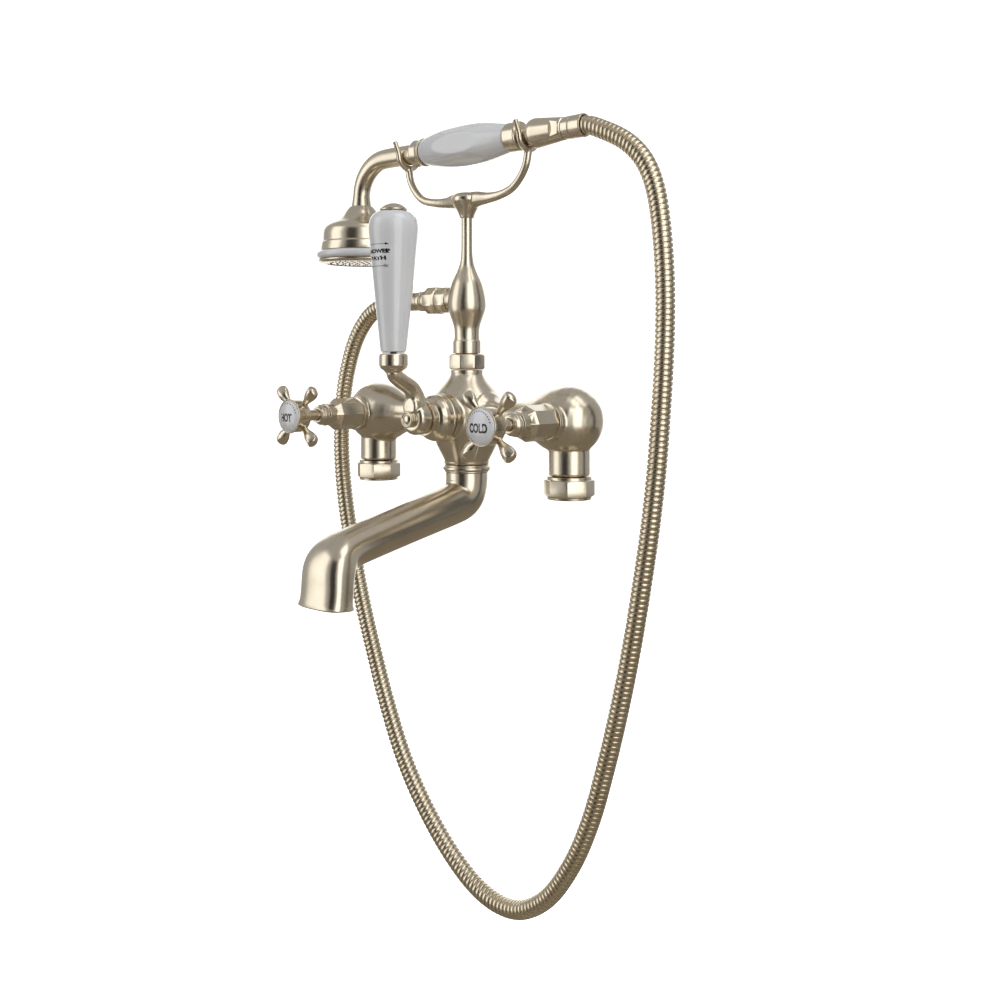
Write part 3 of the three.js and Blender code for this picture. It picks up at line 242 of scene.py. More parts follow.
# %% The lathe
def turned(name, outline, axis=UP, place=(0, 0, 0), sides=64):
    """Spins an outline of (radius, distance along the axis) round that axis, in millimetres."""
    centre = Vector(place)
    radial = RIGHT if abs(axis.x) < 0.5 else UP
    line = [(centre + radial * r + axis * h) * MM for r, h in outline]
    bpy.ops.object.select_all(action="DESELECT")
    bpy.ops.mesh.primitive_plane_add(size=MM)
    obj = bpy.context.object
    obj.name = name
    bpy.ops.object.mode_set(mode="EDIT")
    bpy.ops.mesh.select_all(action="SELECT")
    bpy.ops.mesh.merge(type="CENTER")
    bpy.ops.transform.translate(value=line[0])
    for a, b in zip(line, line[1:]):
        bpy.ops.mesh.extrude_region_move(TRANSFORM_OT_translate={"value": b - a})
    bpy.ops.mesh.select_all(action="SELECT")
    bpy.ops.mesh.spin(steps=sides, angle=2 * pi, center=centre * MM, axis=axis)
    bpy.ops.object.mode_set(mode="OBJECT")
    return shaded(tidy(obj))


# %% The milled bar and the boolean
def combined(obj, other, operation):
    finish_with(obj, "BOOLEAN", operation=operation, object=other, solver="EXACT")
    bpy.data.objects.remove(other)
    return obj


def milled(name, across, start, end, axis=UP, place=(0, 0, 0), sides=8, turn=0.0):
    """A many-sided bar from start to end along the axis, that wide across its corners."""
    middle = Vector(place) + axis * (start + end) / 2
    bpy.ops.object.select_all(action="DESELECT")
    bpy.ops.mesh.primitive_cylinder_add(
        vertices=sides, radius=across / 2 * MM, depth=(end - start) * MM, location=middle * MM,
        rotation=axis.to_track_quat("Z", "Y").to_euler())
    obj = bpy.context.object
    obj.name = name
    bpy.ops.object.transform_apply(location=True, rotation=True, scale=True)
    if turn:
        bpy.ops.object.mode_set(mode="EDIT")
        bpy.ops.mesh.select_all(action="SELECT")
        bpy.ops.transform.rotate(
            value=turn, orient_axis="XYZ"[[abs(c) > 0.5 for c in axis].index(True)],
            center_override=middle * MM)
        bpy.ops.object.mode_set(mode="OBJECT")
    return obj


# %% The tube bender
def rod(name, points, radii, step=2.0, sides=24):
    """A round bar along a smooth line through the points, its radius given at each of them."""
    line = flowing([(*p, r) for p, r in zip(points, radii)], step)
    data = bpy.data.curves.new(name, "CURVE")
    data.dimensions = "3D"
    data.bevel_depth = MM
    data.bevel_resolution = sides // 4 - 2
    data.use_fill_caps = True
    spline = data.splines.new("POLY")
    spline.points.add(len(line) - 1)
    for point, (x, y, z, r) in zip(spline.points, line):
        point.co = (x * MM, y * MM, z * MM, 1)
        point.radius = r
    obj = bpy.data.objects.new(name, data)
    bpy.context.collection.objects.link(obj)
    alone(obj)
    bpy.ops.object.convert(target="MESH")
    return shaded(tidy(bpy.context.object), 50)


def fitted(obj, body, finish, nodes=()):
    """The piece gets its material, rides on its body and stands for its CAD nodes."""
    material, slot = finish
    obj.data.materials.clear()
    obj.data.materials.append(material)
    if nodes:
        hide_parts(*nodes)
    if body is not None:
        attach(obj, body)
    return obj


# %% [markdown]
# ## Finishes
# Satin nickel is nickel plated over polished brass and then brushed with a fine pad. It keeps a warm,
# champagne tone, and its fine scratches spread every highlight a little. Porcelain is a white body under
# a clear glaze, so it has a soft body colour and a sharp shine on top.

# %% Colours and nodes
def colour(text):
    """An sRGB hex value as the linear colour that a shader works in."""
    values = [int(text[i:i + 2], 16) / 255 for i in (1, 3, 5)]
    return (*[v / 12.92 if v <= 0.04045 else ((v + 0.055) / 1.055) ** 2.4 for v in values], 1)


def add(tree, kind, settings=(), **links):
    """Adds a node; settings go to its fields and sockets, and links to its inputs."""
    node = tree.nodes.new(kind)
    for key, value in dict(settings).items():
        if key in node.inputs:
            node.inputs[key].default_value = value
        else:
            setattr(node, key, value)
    for key, source in links.items():
        tree.links.new(source, node.inputs[key.replace("_", " ")])
    return node


def blank(name, settings):
    """A material with one shader: its tree, its shader and the piece's own coordinates."""
    material = bpy.data.materials.new(name)
    material.use_nodes = True
    tree = material.node_tree
    shader = tree.nodes["Principled BSDF"]
    for key, value in settings.items():
        shader.inputs[key].default_value = value
    place = add(tree, "ShaderNodeTexCoord").outputs["Object"]
    return material, tree, shader, place


def between(tree, factor, low, high):
    """A number or colour that goes from low to high as the factor goes from 0 to 1."""
    mix = add(tree, "ShaderNodeMix", {"data_type": "RGBA"})
    tree.links.new(factor, mix.inputs[0])
    mix.inputs[6].default_value = low
    mix.inputs[7].default_value = high
    return mix.outputs[2]


def grey(value):
    return (value, value, value, 1)


# %% [markdown]
# The brushing is drawn as two noises. Real pad marks are about a tenth of a millimetre wide, too fine
# to show from here, so they are drawn three times coarser and very shallow. A broad noise moves the tone
# and the gloss by a few hundredths, as a hand-finished casting does.

# %% Satin nickel
def satin_nickel(name, light="#E5DBC8", dark="#D2C6B0", gloss=0.24, scratch=0.3):
    material, tree, shader, place = blank(name, {"Metallic": 1.0})
    cloud = add(tree, "ShaderNodeTexNoise", {"Scale": 1 / 0.018, "Detail": 2.0}, Vector=place)
    grain = add(tree, "ShaderNodeTexNoise", {"Scale": 1 / (scratch * MM), "Detail": 3.0}, Vector=place)
    shade = between(tree, cloud.outputs["Fac"], colour(dark), colour(light))
    tree.links.new(shade, shader.inputs["Base Color"])
    rough = between(tree, grain.outputs["Fac"], grey(gloss - 0.05), grey(gloss + 0.07))
    tree.links.new(rough, shader.inputs["Roughness"])
    bump = add(tree, "ShaderNodeBump", {"Strength": 0.08, "Distance": 0.00004}, Height=grain.outputs["Fac"])
    tree.links.new(bump.outputs["Normal"], shader.inputs["Normal"])
    return material


NICKEL = (satin_nickel("satin_nickel_plate"), "satin_nickel")
HOSE_NICKEL = (satin_nickel("satin_nickel_strip", "#E3D8C3", "#CDC0A6", 0.25, 0.4), "satin_nickel")
print("nickel", [round(c, 3) for c in colour("#E2D3B8")[:3]])


# %% Glazed porcelain
def glazed_porcelain(name):
    """Fired white clay under glaze: a faint cool tone, tiny waves in the gloss and no grain."""
    material, tree, shader, place = blank(
        name, {"Roughness": 0.2, "IOR": 1.5, "Coat Weight": 0.9, "Coat Roughness": 0.04,
               "Subsurface Weight": 0.06, "Subsurface Scale": 0.002})
    cloud = add(tree, "ShaderNodeTexNoise", {"Scale": 1 / 0.02, "Detail": 2.0}, Vector=place)
    shade = between(tree, cloud.outputs["Fac"], colour("#DFE1E4"), colour("#EAEBED"))
    tree.links.new(shade, shader.inputs["Base Color"])
    wave = add(tree, "ShaderNodeTexNoise", {"Scale": 1 / 0.006, "Detail": 1.0}, Vector=place)
    bump = add(tree, "ShaderNodeBump", {"Strength": 0.05, "Distance": 0.0001}, Height=wave.outputs["Fac"])
    tree.links.new(bump.outputs["Normal"], shader.inputs["Normal"])
    return material


PORCELAIN = (glazed_porcelain("glazed_porcelain"), "porcelain")


# %% The finishes that hardly show
def plain(name, settings, light, dark, size_mm, slot):
    """A finish with a mottled tone and a fine tooth of the given size."""
    material, tree, shader, place = blank(name, settings)
    grain = add(tree, "ShaderNodeTexNoise", {"Scale": 1 / (size_mm * MM), "Detail": 2.0}, Vector=place)
    shade = between(tree, grain.outputs["Fac"], colour(dark), colour(light))
    tree.links.new(shade, shader.inputs["Base Color"])
    bump = add(tree, "ShaderNodeBump", {"Strength": 0.2, "Distance": 0.00005}, Height=grain.outputs["Fac"])
    tree.links.new(bump.outputs["Normal"], shader.inputs["Normal"])
    return material, slot


METAL = {"Metallic": 1.0, "Roughness": 0.35}
RUBBER = plain("moulded_nitrile_rubber", {"Roughness": 0.7}, "#2A2A2C", "#161618", 0.4, "rubber")
BRASS = plain("machined_brass", METAL, "#D8BC7C", "#B8964F", 0.3, "brass")
ALUMINA = plain("lapped_alumina", {"Roughness": 0.3}, "#F2ECDD", "#E2DAC6", 0.5, "alumina")
STEEL = plain("drawn_stainless_steel", METAL, "#C4C4C2", "#A0A09E", 0.3, "stainless")
ACETAL = plain("moulded_acetal", {"Roughness": 0.5}, "#EFEFEA", "#E0E0DA", 0.6, "acetal")
# black enamel fired into the glaze, for the words and marks
ENAMEL = plain("black_fired_enamel", {"Roughness": 0.25}, "#17171A", "#0C0C0E", 0.5, "porcelain")
print("finishes", len(bpy.data.materials))

# %% [markdown]
# The parts that stay as the CAD made them are the sealed ones inside: washers, seals, ceramic discs,
# clips and spindles. They still get a proper finish, because a cut or an open nut lets them be seen.

# %% Finishes for the inner parts
FINISH_OF_SLOT = {"satin_nickel": NICKEL, "porcelain": PORCELAIN, "rubber": RUBBER, "brass": BRASS,
                  "alumina": ALUMINA, "stainless": STEEL, "acetal": ACETAL}
for part in frame["record"]["subparts"]:
    node = frame["nodes"][part["node"]]
    node.data.materials.clear()
    node.data.materials.append(FINISH_OF_SLOT[part["material_slot"]][0])

fitted(shaded(tidy(hose), 40), None, HOSE_NICKEL, ["hose"])
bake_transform(hose)

# %% [markdown]
# ## The body casting
# The barrel, its two arms, the round elbows and the legs are one hollow brass casting. Its outer forms
# are turned shapes that run into each other with small fillets. Each form is turned on its own, all are
# joined, and a voxel remesh fuses them into one skin. A few rounds of smoothing then give the fillets.

# %% Sizes of the body, in millimetres
HALF = 101.6                     # from the middle to each valve
AXIS = 48                        # valve axis above the sealing faces
BALL = 25                        # radius of an elbow
VALVE_FACE = 24.7                # front of the valve boss
DIVERTER_FACE = 29
SIDES = {"hot": -1, "cold": 1}

# %% Turn the forms and fuse them
BARREL = [(17.1, 11.3), (18, 15), (20.6, 20), (23.6, 26), (26.4, 35), (28, 45), (27.7, 55),
          (25.2, 63.5), (20.3, 70.5), (15.6, 76), (12.7, 80.5), (11.9, 84)]
ARM = [(19, 24), (14.2, 28), (12.3, 34), (12, 42), (12.4, 55), (14.4, 67), (17.7, 76), (21.6, 84.6),
       (24.1, 93.6), (BALL, HALF)]
BALL_END = [(BALL * cos(a), HALF + BALL * sin(a)) for a in (0.2, 0.4, 0.6, 0.8, 1.0, 1.2, 1.4, pi / 2)]
LEG = [(0, 22), (8.7, 22), (8.7, 2.2), (11.3, 2.2), (11.3, 8.9), (15, 8.9), (15, 26), (12, 40), (0, 40)]

forms = [turned("barrel", [(0, 11.3), *flowing(BARREL, 3), (0, 84)])]
forms.append(turned("diverter_boss", [(0, 0), (17.8, 0), (17.8, DIVERTER_FACE), (0, DIVERTER_FACE)],
                    FRONT, (0, 0, AXIS)))
for side, way in ((-1, LEFT), (1, RIGHT)):
    forms.append(turned("arm", [(0, 20), *flowing(ARM, 4), *BALL_END], way, (0, 0, AXIS)))
    forms.append(turned("leg", LEG, UP, (side * HALF, 0, 0)))
    forms.append(turned("valve_boss", [(0, 5), (13.4, 5), (13.4, VALVE_FACE), (0, VALVE_FACE)],
                        FRONT, (side * HALF, 0, AXIS)))
casting = joined("body_casting", forms)
VOXEL = 0.85
finish_with(casting, "REMESH", mode="VOXEL", voxel_size=VOXEL * MM)
finish_with(casting, "SMOOTH", factor=0.5, iterations=7)
fitted(shaded(casting, 60), "body", NICKEL, ["mixer_body"])
print("casting faces", len(casting.data.polygons))

# %% [markdown]
# The crisp lines on the casting are turned after it is cast: the land that each bonnet seats on, the
# ring round the diverter, the ring at the top of the barrel and the two small steps at the foot of the barrel.

# %% Turned lands on the casting
def land(name, outline, axis, place):
    piece = turned(name, rounded(outline, 0.35), axis, place)
    return fitted(piece, "body", NICKEL)


for name, side in SIDES.items():
    land(f"{name}_valve_land", [(0, 22), (13.6, 22), (13.6, 24.6), (0, 24.6)], FRONT, (side * HALF, 0, AXIS))
land("diverter_land", [(0, 24), (18.1, 24), (18.1, 28.9), (0, 28.9)], FRONT, (0, 0, AXIS))
land("barrel_top_land", [(0, 81.4), (12.6, 81.4), (12.6, 83.9), (0, 83.9)], UP, (0, 0, 0))
land("barrel_foot_land", [(0, 11.35), (17.5, 11.35), (17.9, 13.2), (0, 13.2)], UP, (0, 0, 0))

# %% [markdown]
# ## Supply unions
# A union nut is an eight-sided bar turned down to a round collar at both ends, so each flat ends in an
# arc. The bar and the turned form are crossed with a boolean, and the bore is cut the same way.

# %% Union nuts
NUT_ACROSS = 36.6
NUT_TURN = 0.18                  # a nut stops wherever it comes tight
for name, side in SIDES.items():
    at = (side * HALF, 0, 0)
    nut = milled(f"{name}_octagon_nut", NUT_ACROSS, -8, 8.3, UP, at, turn=NUT_TURN)
    shape = turned("nut_turning", rounded([
        (0, -8), (16.2, -8), (16.2, -5.9), (18.6, -4.9), (18.6, 5.2), (16.2, 6.2), (16.2, 8.3), (0, 8.3)],
        0.5), UP, at)
    nut = combined(nut, shape, "INTERSECT")
    bore = turned("nut_bore", [(0, -9), (13.3, -9), (13.3, 5.2), (11.6, 5.2), (11.6, 9), (0, 9)], UP, at)
    nut = combined(nut, bore, "DIFFERENCE")
    finish_with(nut, "BEVEL", width=0.3 * MM, segments=2, limit_method="ANGLE", angle_limit=radians(35))
    fitted(shaded(nut, 30), f"{name}_nut", NICKEL, [f"{name}_union_nut"])

# %% [markdown]
# ## Valve bonnets
# The bonnet is the visible end of the ceramic cartridge: a flange, an eight-sided body for the spanner
# with its front corners chamfered away, a cone, and two small rings round the gland where the stem leaves.

# %% Bonnets
def bonnet(name, side):
    at = (side * HALF, 0, AXIS)
    bar = turned(f"{name}_bonnet", [(0, 26.6), (12.7, 26.6), (12.7, 48.6), (8.7, 53.6), (0, 53.6)],
                 FRONT, at, 8)
    flange = turned("bonnet_flange", rounded([
        (0, 25), (13.8, 25), (13.8, 26.8), (12.2, 27.4), (0, 27.4)], 0.4), FRONT, at)
    neck = turned("bonnet_neck", rounded([
        (0, 52), (9.2, 52), (8.5, 56.8), (8.9, 57.2), (8.9, 58.8), (7.6, 59.4), (7.6, 61.2), (8.1, 61.6),
        (8.1, 62.9), (6.6, 64.4), (6.3, 66.2), (4.5, 66.3), (4.5, 60), (0, 60)], 0.35), FRONT, at)
    for other in (flange, neck):
        bar = combined(bar, other, "UNION")
    finish_with(bar, "BEVEL", width=0.28 * MM, segments=2, limit_method="ANGLE", angle_limit=radians(28))
    return fitted(shaded(bar, 28), "body", NICKEL, [f"{name}_valve_bonnet"])


for name, side in SIDES.items():
    bonnet(name, side)

# %% [markdown]
# ## Cross handles
# The hub is a short drum with a rounded back. Four arms leave it on the diagonals, slender at the root and
# swelling to a blunt tip with a soft ridge down its face. A screw hides behind the porcelain index, which
# a thin bright bezel holds. The arm is turned once, flattened, and copied round the hub.

# %% Sizes of a cross handle
HUB_BACK, HUB_FRONT, HUB_RADIUS = 80, 92.2, 12.7
ARM_REACH = 30.2

# %% One arm, then four
def cross_arm(at, angle):
    """An arm of the cross, with two flats that meet in a ridge along its front."""
    centre = Vector(at) + FRONT * (HUB_BACK + 6)
    line = [*flowing([(3.2, 9), (2.7, 12.6), (2.6, 14.8), (3.4, 18), (4.9, 21.8), (5.6, 25.2), (5.2, 27.9),
                      (3.6, 29.5), (1.8, 30.1)], 0.9), (0, ARM_REACH)]
    arm = turned("arm", [(0, 9), *line], UP, (0, 0, 0), 24)
    alone(arm)
    bpy.ops.object.mode_set(mode="EDIT")
    bpy.ops.mesh.select_all(action="SELECT")
    bpy.ops.transform.resize(value=(1, 0.8, 1))
    for lean in (-1, 1):
        # a shallow flat cut off each front quarter leaves the ridge between the two
        bpy.ops.mesh.select_all(action="SELECT")
        bpy.ops.mesh.bisect(plane_co=(lean * 2.6 * MM, -3.1 * MM, 0),
                            plane_no=(lean * 0.62, -0.78, 0.0), clear_outer=True, use_fill=True)
    bpy.ops.object.mode_set(mode="OBJECT")
    finish_with(arm, "BEVEL", width=0.5 * MM, segments=2, limit_method="ANGLE", angle_limit=radians(24))
    arm.rotation_euler = (0, pi / 2 - angle, 0)
    arm.location = centre * MM
    bpy.ops.object.transform_apply(location=True, rotation=True, scale=True)
    return shaded(arm, 30)


def cross_handle(name, side):
    at = (side * HALF, 0, AXIS)
    hub = turned(f"{name}_cross", rounded([
        (4.4, HUB_BACK), (9, HUB_BACK), (11.6, 80.9), (HUB_RADIUS, 83), (HUB_RADIUS, HUB_FRONT),
        (4.4, HUB_FRONT), (4.4, HUB_BACK)], 0.7), FRONT, at)
    arms = [cross_arm(at, radians(45 + 90 * i)) for i in range(4)]
    handle = joined(f"{name}_cross", [hub, *arms])
    fitted(shaded(handle, 35), f"{name}_handle", NICKEL, [f"{name}_cross_handle"])
    ring = turned(f"{name}_bezel", rounded([
        (11.9, 92.3), (13.1, 92.3), (13.5, 92.9), (13.4, 93.7), (13, 94), (12.6, 93.8), (12.5, 93.2),
        (11.9, 93.2), (11.9, 92.3)], 0.25), FRONT, at)
    fitted(ring, f"{name}_handle", NICKEL, [f"{name}_index_bezel"])
    dome = turned(f"{name}_index", [
        (0, 91.9), (11.8, 91.9), *flowing([(12.3, 93), (12, 93.9), (10.6, 95), (8, 95.9), (4.6, 96.6),
                                           (1.6, 96.8)], 0.8), (0, 96.8)], FRONT, at)
    fitted(dome, f"{name}_handle", PORCELAIN, [f"{name}_index_plate"])
    stem = turned(f"{name}_stem", [(0, 50), (4.3, 50), (4.3, 82), (0, 82)], FRONT, at, 32)
    fitted(stem, f"{name}_handle", NICKEL)


for name, side in SIDES.items():
    cross_handle(name, side)

# %% [markdown]
# ## Words and marks
# The words on the porcelain are black enamel under the glaze. They are plain words in Blender's own
# letters, narrowed, and made into a thin mesh. The arc of small dots round each index is a plain border.

# %% Letters
def word(name, text, height, width, place, thick):
    """A word that faces the front, its middle at place, its strokes thickened by the given offset."""
    bpy.ops.object.select_all(action="DESELECT")
    bpy.ops.object.text_add(rotation=(pi / 2, 0, 0))
    obj = bpy.context.object
    obj.name = name
    obj.data.body = text
    obj.data.align_x, obj.data.align_y = "CENTER", "CENTER"
    obj.data.offset = thick
    bpy.ops.object.convert(target="MESH")
    obj = bpy.context.object
    bpy.context.view_layer.update()
    obj.scale = (width * MM / obj.dimensions.x, height * MM / obj.dimensions.y, 1)
    obj.location = Vector(place) * MM
    bpy.ops.object.transform_apply(location=True, rotation=True, scale=True)
    return obj


def wrapped(obj, target, lift=0.1):
    """Lays flat enamel on the surface behind it, a hair above the glaze."""
    finish_with(obj, "SHRINKWRAP", target=target, wrap_method="PROJECT", use_project_y=True,
                use_negative_direction=True, use_positive_direction=True, offset=lift * MM)
    return obj


# %% The index plates
def marks(name, side):
    dome = bpy.data.objects[f"{name}_index"]
    centre = Vector((side * HALF, -98.5, AXIS))
    size = {"hot": 12.6, "cold": 15.8}[name]
    text = word(f"{name}_word", name.upper(), 6.4, size, centre + UP * -1.3, 0.04)
    dots = []
    for i in range(13):
        angle = radians(162 - 12 * i)
        spot = centre + Vector((cos(angle), 0, sin(angle))) * 10.2
        bpy.ops.object.select_all(action="DESELECT")
        bpy.ops.mesh.primitive_circle_add(vertices=8, radius=0.45 * MM, fill_type="NGON",
                                          location=spot * MM, rotation=(pi / 2, 0, 0))
        bpy.ops.object.transform_apply(location=True, rotation=True, scale=True)
        dots.append(bpy.context.object)
    enamel = wrapped(joined(f"{name}_marks", [text, *dots]), dome)
    fitted(enamel, f"{name}_handle", ENAMEL)


for name, side in SIDES.items():
    marks(name, side)

# %% [markdown]
# ## Diverter and lever
# The diverter's bonnet is a stepped dome on the front of the barrel. Its lever starts as a round hub
# on the spindle, rises and leans forward as a bent bar, and ends in a ferrule under the porcelain.

# %% Diverter bonnet
fitted(turned("diverter_dome", rounded([
    (0, 29.4), (17.8, 29.4), (18.1, 30), (18.1, 31.4), (17.6, 31.9), (17.8, 32.4), (17.7, 35.8), (16.8, 38.6),
    (14.8, 41.2), (12.6, 42.6), (12.4, 43.2), (12.4, 44.6), (13.1, 45.2), (13.1, 47.8),
    (0, 47.8)], 0.5), FRONT, (0, 0, AXIS)), "body", NICKEL, ["diverter_bonnet"])

# %% Sizes of the lever
HUB_MIDDLE = 54.2
LEVER_OUT = 77.5                 # lever's axis, forward of the body's
FERRULE_FOOT, FERRULE_TOP = 84, 96.4
LEVER_FOOT, LEVER_TOP = 97.6, 200.1

# %% Crank and ferrule
hub = turned("lever_hub", rounded([
    (0, 48.2), (10.8, 48.2), (12, 49.6), (12, 56.8), (11, 59), (8.6, 60.2), (0, 60.2)], 1.0),
    FRONT, (0, 0, AXIS))
lug = turned("lever_lug", rounded([(0, 56), (7.6, 56), (7.6, 60.6), (6, 62.4), (0, 62.6)], 1.0),
             FRONT, (0, 0, AXIS + 9), 48)
arm = rod("lever_arm", [(0, -HUB_MIDDLE, 52), (0, -HUB_MIDDLE - 0.6, 62), (0, -59.5, 70.6), (0, -70.5, 77),
                        (0, -76.2, 81), (0, -LEVER_OUT, 88)], [8.2, 7.2, 6.3, 6, 6, 6.2], 1.6, 32)
crank = joined("lever_crank_arm", [hub, lug, arm])
finish_with(crank, "REMESH", mode="VOXEL", voxel_size=0.5 * MM)
finish_with(crank, "SMOOTH", factor=0.5, iterations=6)
fitted(shaded(crank, 60), "diverter_lever", NICKEL, ["lever_crank"])
fitted(turned("lever_ferrule", rounded([
    (0, 82.5), (6.1, 82.5), (6.9, 84), (9.4, 85.6), (10.6, 87.6), (10.6, 95.2), (9.9, FERRULE_TOP),
    (0, FERRULE_TOP)], 0.8), UP, (0, -LEVER_OUT, 0)), "diverter_lever", NICKEL)
fitted(turned("lever_screw_cap", rounded([
    (0, 60), (6.2, 60), (6.2, 64.4), (5.6, 65), (4.9, 65), (4.5, 64.2), (3.9, 64.2), (2.4, 65.3), (0, 65.7)],
    0.35), FRONT, (0, 0, AXIS), 48), "diverter_lever", NICKEL, ["lever_screw"])

# %% Porcelain lever and cap
lever_outline = [(2.8, LEVER_FOOT), (8.4, LEVER_FOOT), *flowing([
    (9.4, 98.1), (9.9, 102), (12.6, 128), (15.2, 154), (17.2, 176), (18.1, 185), (18.1, 189.3), (17.1, 194),
    (14.8, 197.7), (11.9, 199.5), (9.3, LEVER_TOP)], 2.0), (2.8, LEVER_TOP), (2.8, LEVER_FOOT)]
lever = turned("porcelain_handle", lever_outline, UP, (0, -LEVER_OUT, 0), 96)
fitted(shaded(lever, 60), "diverter_lever", PORCELAIN, ["porcelain_lever"])
fitted(turned("lever_button", [(0, 200.3), *rounded([(9.3, 200.3), (10.2, 200.8), (10.2, 201.5)], 0.4),
                               *flowing([(9.4, 202.4), (7, 204.2), (3.6, 205.6), (0.8, 206)], 0.9),
                               (0, 206)], UP, (0, -LEVER_OUT, 0)), "diverter_lever", NICKEL, ["lever_cap"])

# %% [markdown]
# The lever says what each way does, in two words with an arrow over one and under the other. An arrow is a
# thin bar with a diamond for its head, and the lower one has three short strokes for its feathers.

# %% Words on the lever
def flat(name, corners, y):
    """A small flat shape that faces the front, from its corners as (x, z)."""
    mesh = bpy.data.meshes.new(name)
    mesh.from_pydata([(x * MM, y * MM, z * MM) for x, z in corners], [], [tuple(range(len(corners)))])
    obj = bpy.data.objects.new(name, mesh)
    bpy.context.collection.objects.link(obj)
    return obj


def arrow(name, z, way, feathers):
    y, half = -LEVER_OUT - 22, 8.0
    pieces = []
    for i in range(8):
        a, b = -half + 2 * i, -half + 2 * i + 2
        pieces.append(flat(name, [(a, z - 0.17), (b, z - 0.17), (b, z + 0.17), (a, z + 0.17)], y))
    tip = way * (half + 2.2)
    pieces.append(flat(name, [(way * (half - 0.8), z), (way * half, z - 0.85), (tip, z),
                              (way * half, z + 0.85)], y))
    for i in range(feathers):
        x = -way * (half - 1.2 * i)
        pieces += [flat(name, [(x, z), (x - way * 1.1, z + s * 1.1), (x - way * 0.7, z + s * 1.1),
                               (x + way * 0.4, z)], y) for s in (-1, 1)]
    return pieces


front_of_lever = -LEVER_OUT - 22
words = [word("shower_word", "SHOWER", 3.0, 22.5, (0, front_of_lever, 169.8), 0.055),
         word("bath_word", "BATH", 3.0, 15.4, (0, front_of_lever, 164.8), 0.055)]
lettering = joined("lever_lettering", [*words, *arrow("arrow", 175, 1, 0), *arrow("arrow", 159.3, -1, 3)])
fitted(wrapped(lettering, lever), "diverter_lever", ENAMEL)

# %% [markdown]
# ## Spout
# The spout is a bent tube that widens into a hooded mouth. It is lofted: a row of cross sections follows
# the line of the spout, round at the top and turning into a wide soft rectangle at the lip. The skin is
# then given the thickness of a casting.

# %% The line of the spout, in millimetres
SLOPE = radians(11.3)
CORNER_Z = -16.1                 # where the two straight runs would meet
REACH = 138.8
BEND = 18 * tan((pi / 2 - SLOPE) / 2)
MOUTH_BEND = 16
LIP = Vector((0, -REACH - 1.6, -77.6))


def down_slope(distance):
    return Vector((0, -distance * cos(SLOPE), CORNER_Z - distance * sin(SLOPE)))


def bent(a, b, c, t):
    """A point on the soft corner from a past b to c."""
    return a * (1 - t) ** 2 + b * 2 * t * (1 - t) + c * t ** 2


REACH_END = REACH / cos(SLOPE)
TOP = Vector((0, 0, 4.7))
BEND_START = Vector((0, 0, CORNER_Z + BEND))
MOUTH_START, MOUTH_CORNER = down_slope(REACH_END - MOUTH_BEND), down_slope(REACH_END)
MOUTH_END = MOUTH_CORNER + Vector((0, 0, -MOUTH_BEND))
print("spout mouth at", tuple(round(v, 1) for v in LIP))

# %% Sections of the spout
# share of the way, half width, half depth, squareness; the run is named by its number
STATIONS = [
    (0, 0, 16.5, 16.5, 2), (0, 0.5, 16.5, 16.5, 2), (0, 1, 16.5, 16.5, 2),
    (1, 0.2, 16.5, 16.5, 2), (1, 0.4, 16.3, 16.5, 2), (1, 0.6, 16, 16.3, 2), (1, 0.8, 15.7, 15.9, 2),
    (1, 1, 15.4, 15.5, 2), (2, 0.25, 15, 14.9, 2), (2, 0.5, 14.7, 14.5, 2), (2, 0.75, 14.8, 14.2, 2.05),
    (2, 0.88, 15.3, 14.0, 2.1), (2, 0.96, 16, 13.9, 2.15), (3, 0.1, 17.1, 13.8, 2.2), (3, 0.25, 18.6, 13.8, 2.3),
    (3, 0.4, 19.8, 13.8, 2.4), (3, 0.55, 20.5, 13.7, 2.5), (3, 0.7, 20.9, 13.4, 2.6), (3, 0.85, 21.1, 13, 2.65),
    (4, 0.05, 21.2, 12.7, 2.7), (4, 0.3, 21.3, 12.5, 2.7), (4, 0.55, 21.3, 12.5, 2.7),
    (4, 0.8, 21.4, 12.7, 2.75), (4, 0.93, 21.9, 13.2, 2.8), (4, 1, 22.5, 13.9, 2.8),
]
RUNS = [(TOP, (TOP + BEND_START) / 2, BEND_START), (BEND_START, down_slope(0), down_slope(BEND)),
        (down_slope(BEND), down_slope((BEND + REACH_END - MOUTH_BEND) / 2), MOUTH_START),
        (MOUTH_START, MOUTH_CORNER, MOUTH_END), (MOUTH_END, (MOUTH_END + LIP) / 2, LIP)]
AROUND = 48


def section(run, share, half_width, half_depth, square):
    a, b, c = RUNS[run]
    centre = bent(a, b, c, share)
    along = ((b - a) * (1 - share) + (c - b) * share).normalized()
    up = along.cross(RIGHT)
    ring = []
    for i in range(AROUND):
        co, si = cos(2 * pi * i / AROUND), sin(2 * pi * i / AROUND)
        x = half_width * abs(co) ** (2 / square) * (1 if co > 0 else -1)
        y = half_depth * abs(si) ** (2 / square) * (1 if si > 0 else -1)
        ring.append((centre + RIGHT * x + up * y) * MM)
    return ring


# %% Loft the spout
def lofted(name, rings):
    """Closed rings of points, bridged one to the next."""
    shape = bmesh.new()
    for ring in rings:
        points = [shape.verts.new(q) for q in ring]
        for a, b in zip(points, points[1:] + points[:1]):
            shape.edges.new((a, b))
    mesh = bpy.data.meshes.new(name)
    shape.to_mesh(mesh)
    shape.free()
    obj = bpy.data.objects.new(name, mesh)
    bpy.context.collection.objects.link(obj)
    alone(obj)
    bpy.ops.object.mode_set(mode="EDIT")
    bpy.ops.mesh.select_all(action="SELECT")
    bpy.ops.mesh.bridge_edge_loops()
    bpy.ops.mesh.normals_make_consistent(inside=False)
    bpy.ops.object.mode_set(mode="OBJECT")
    return obj


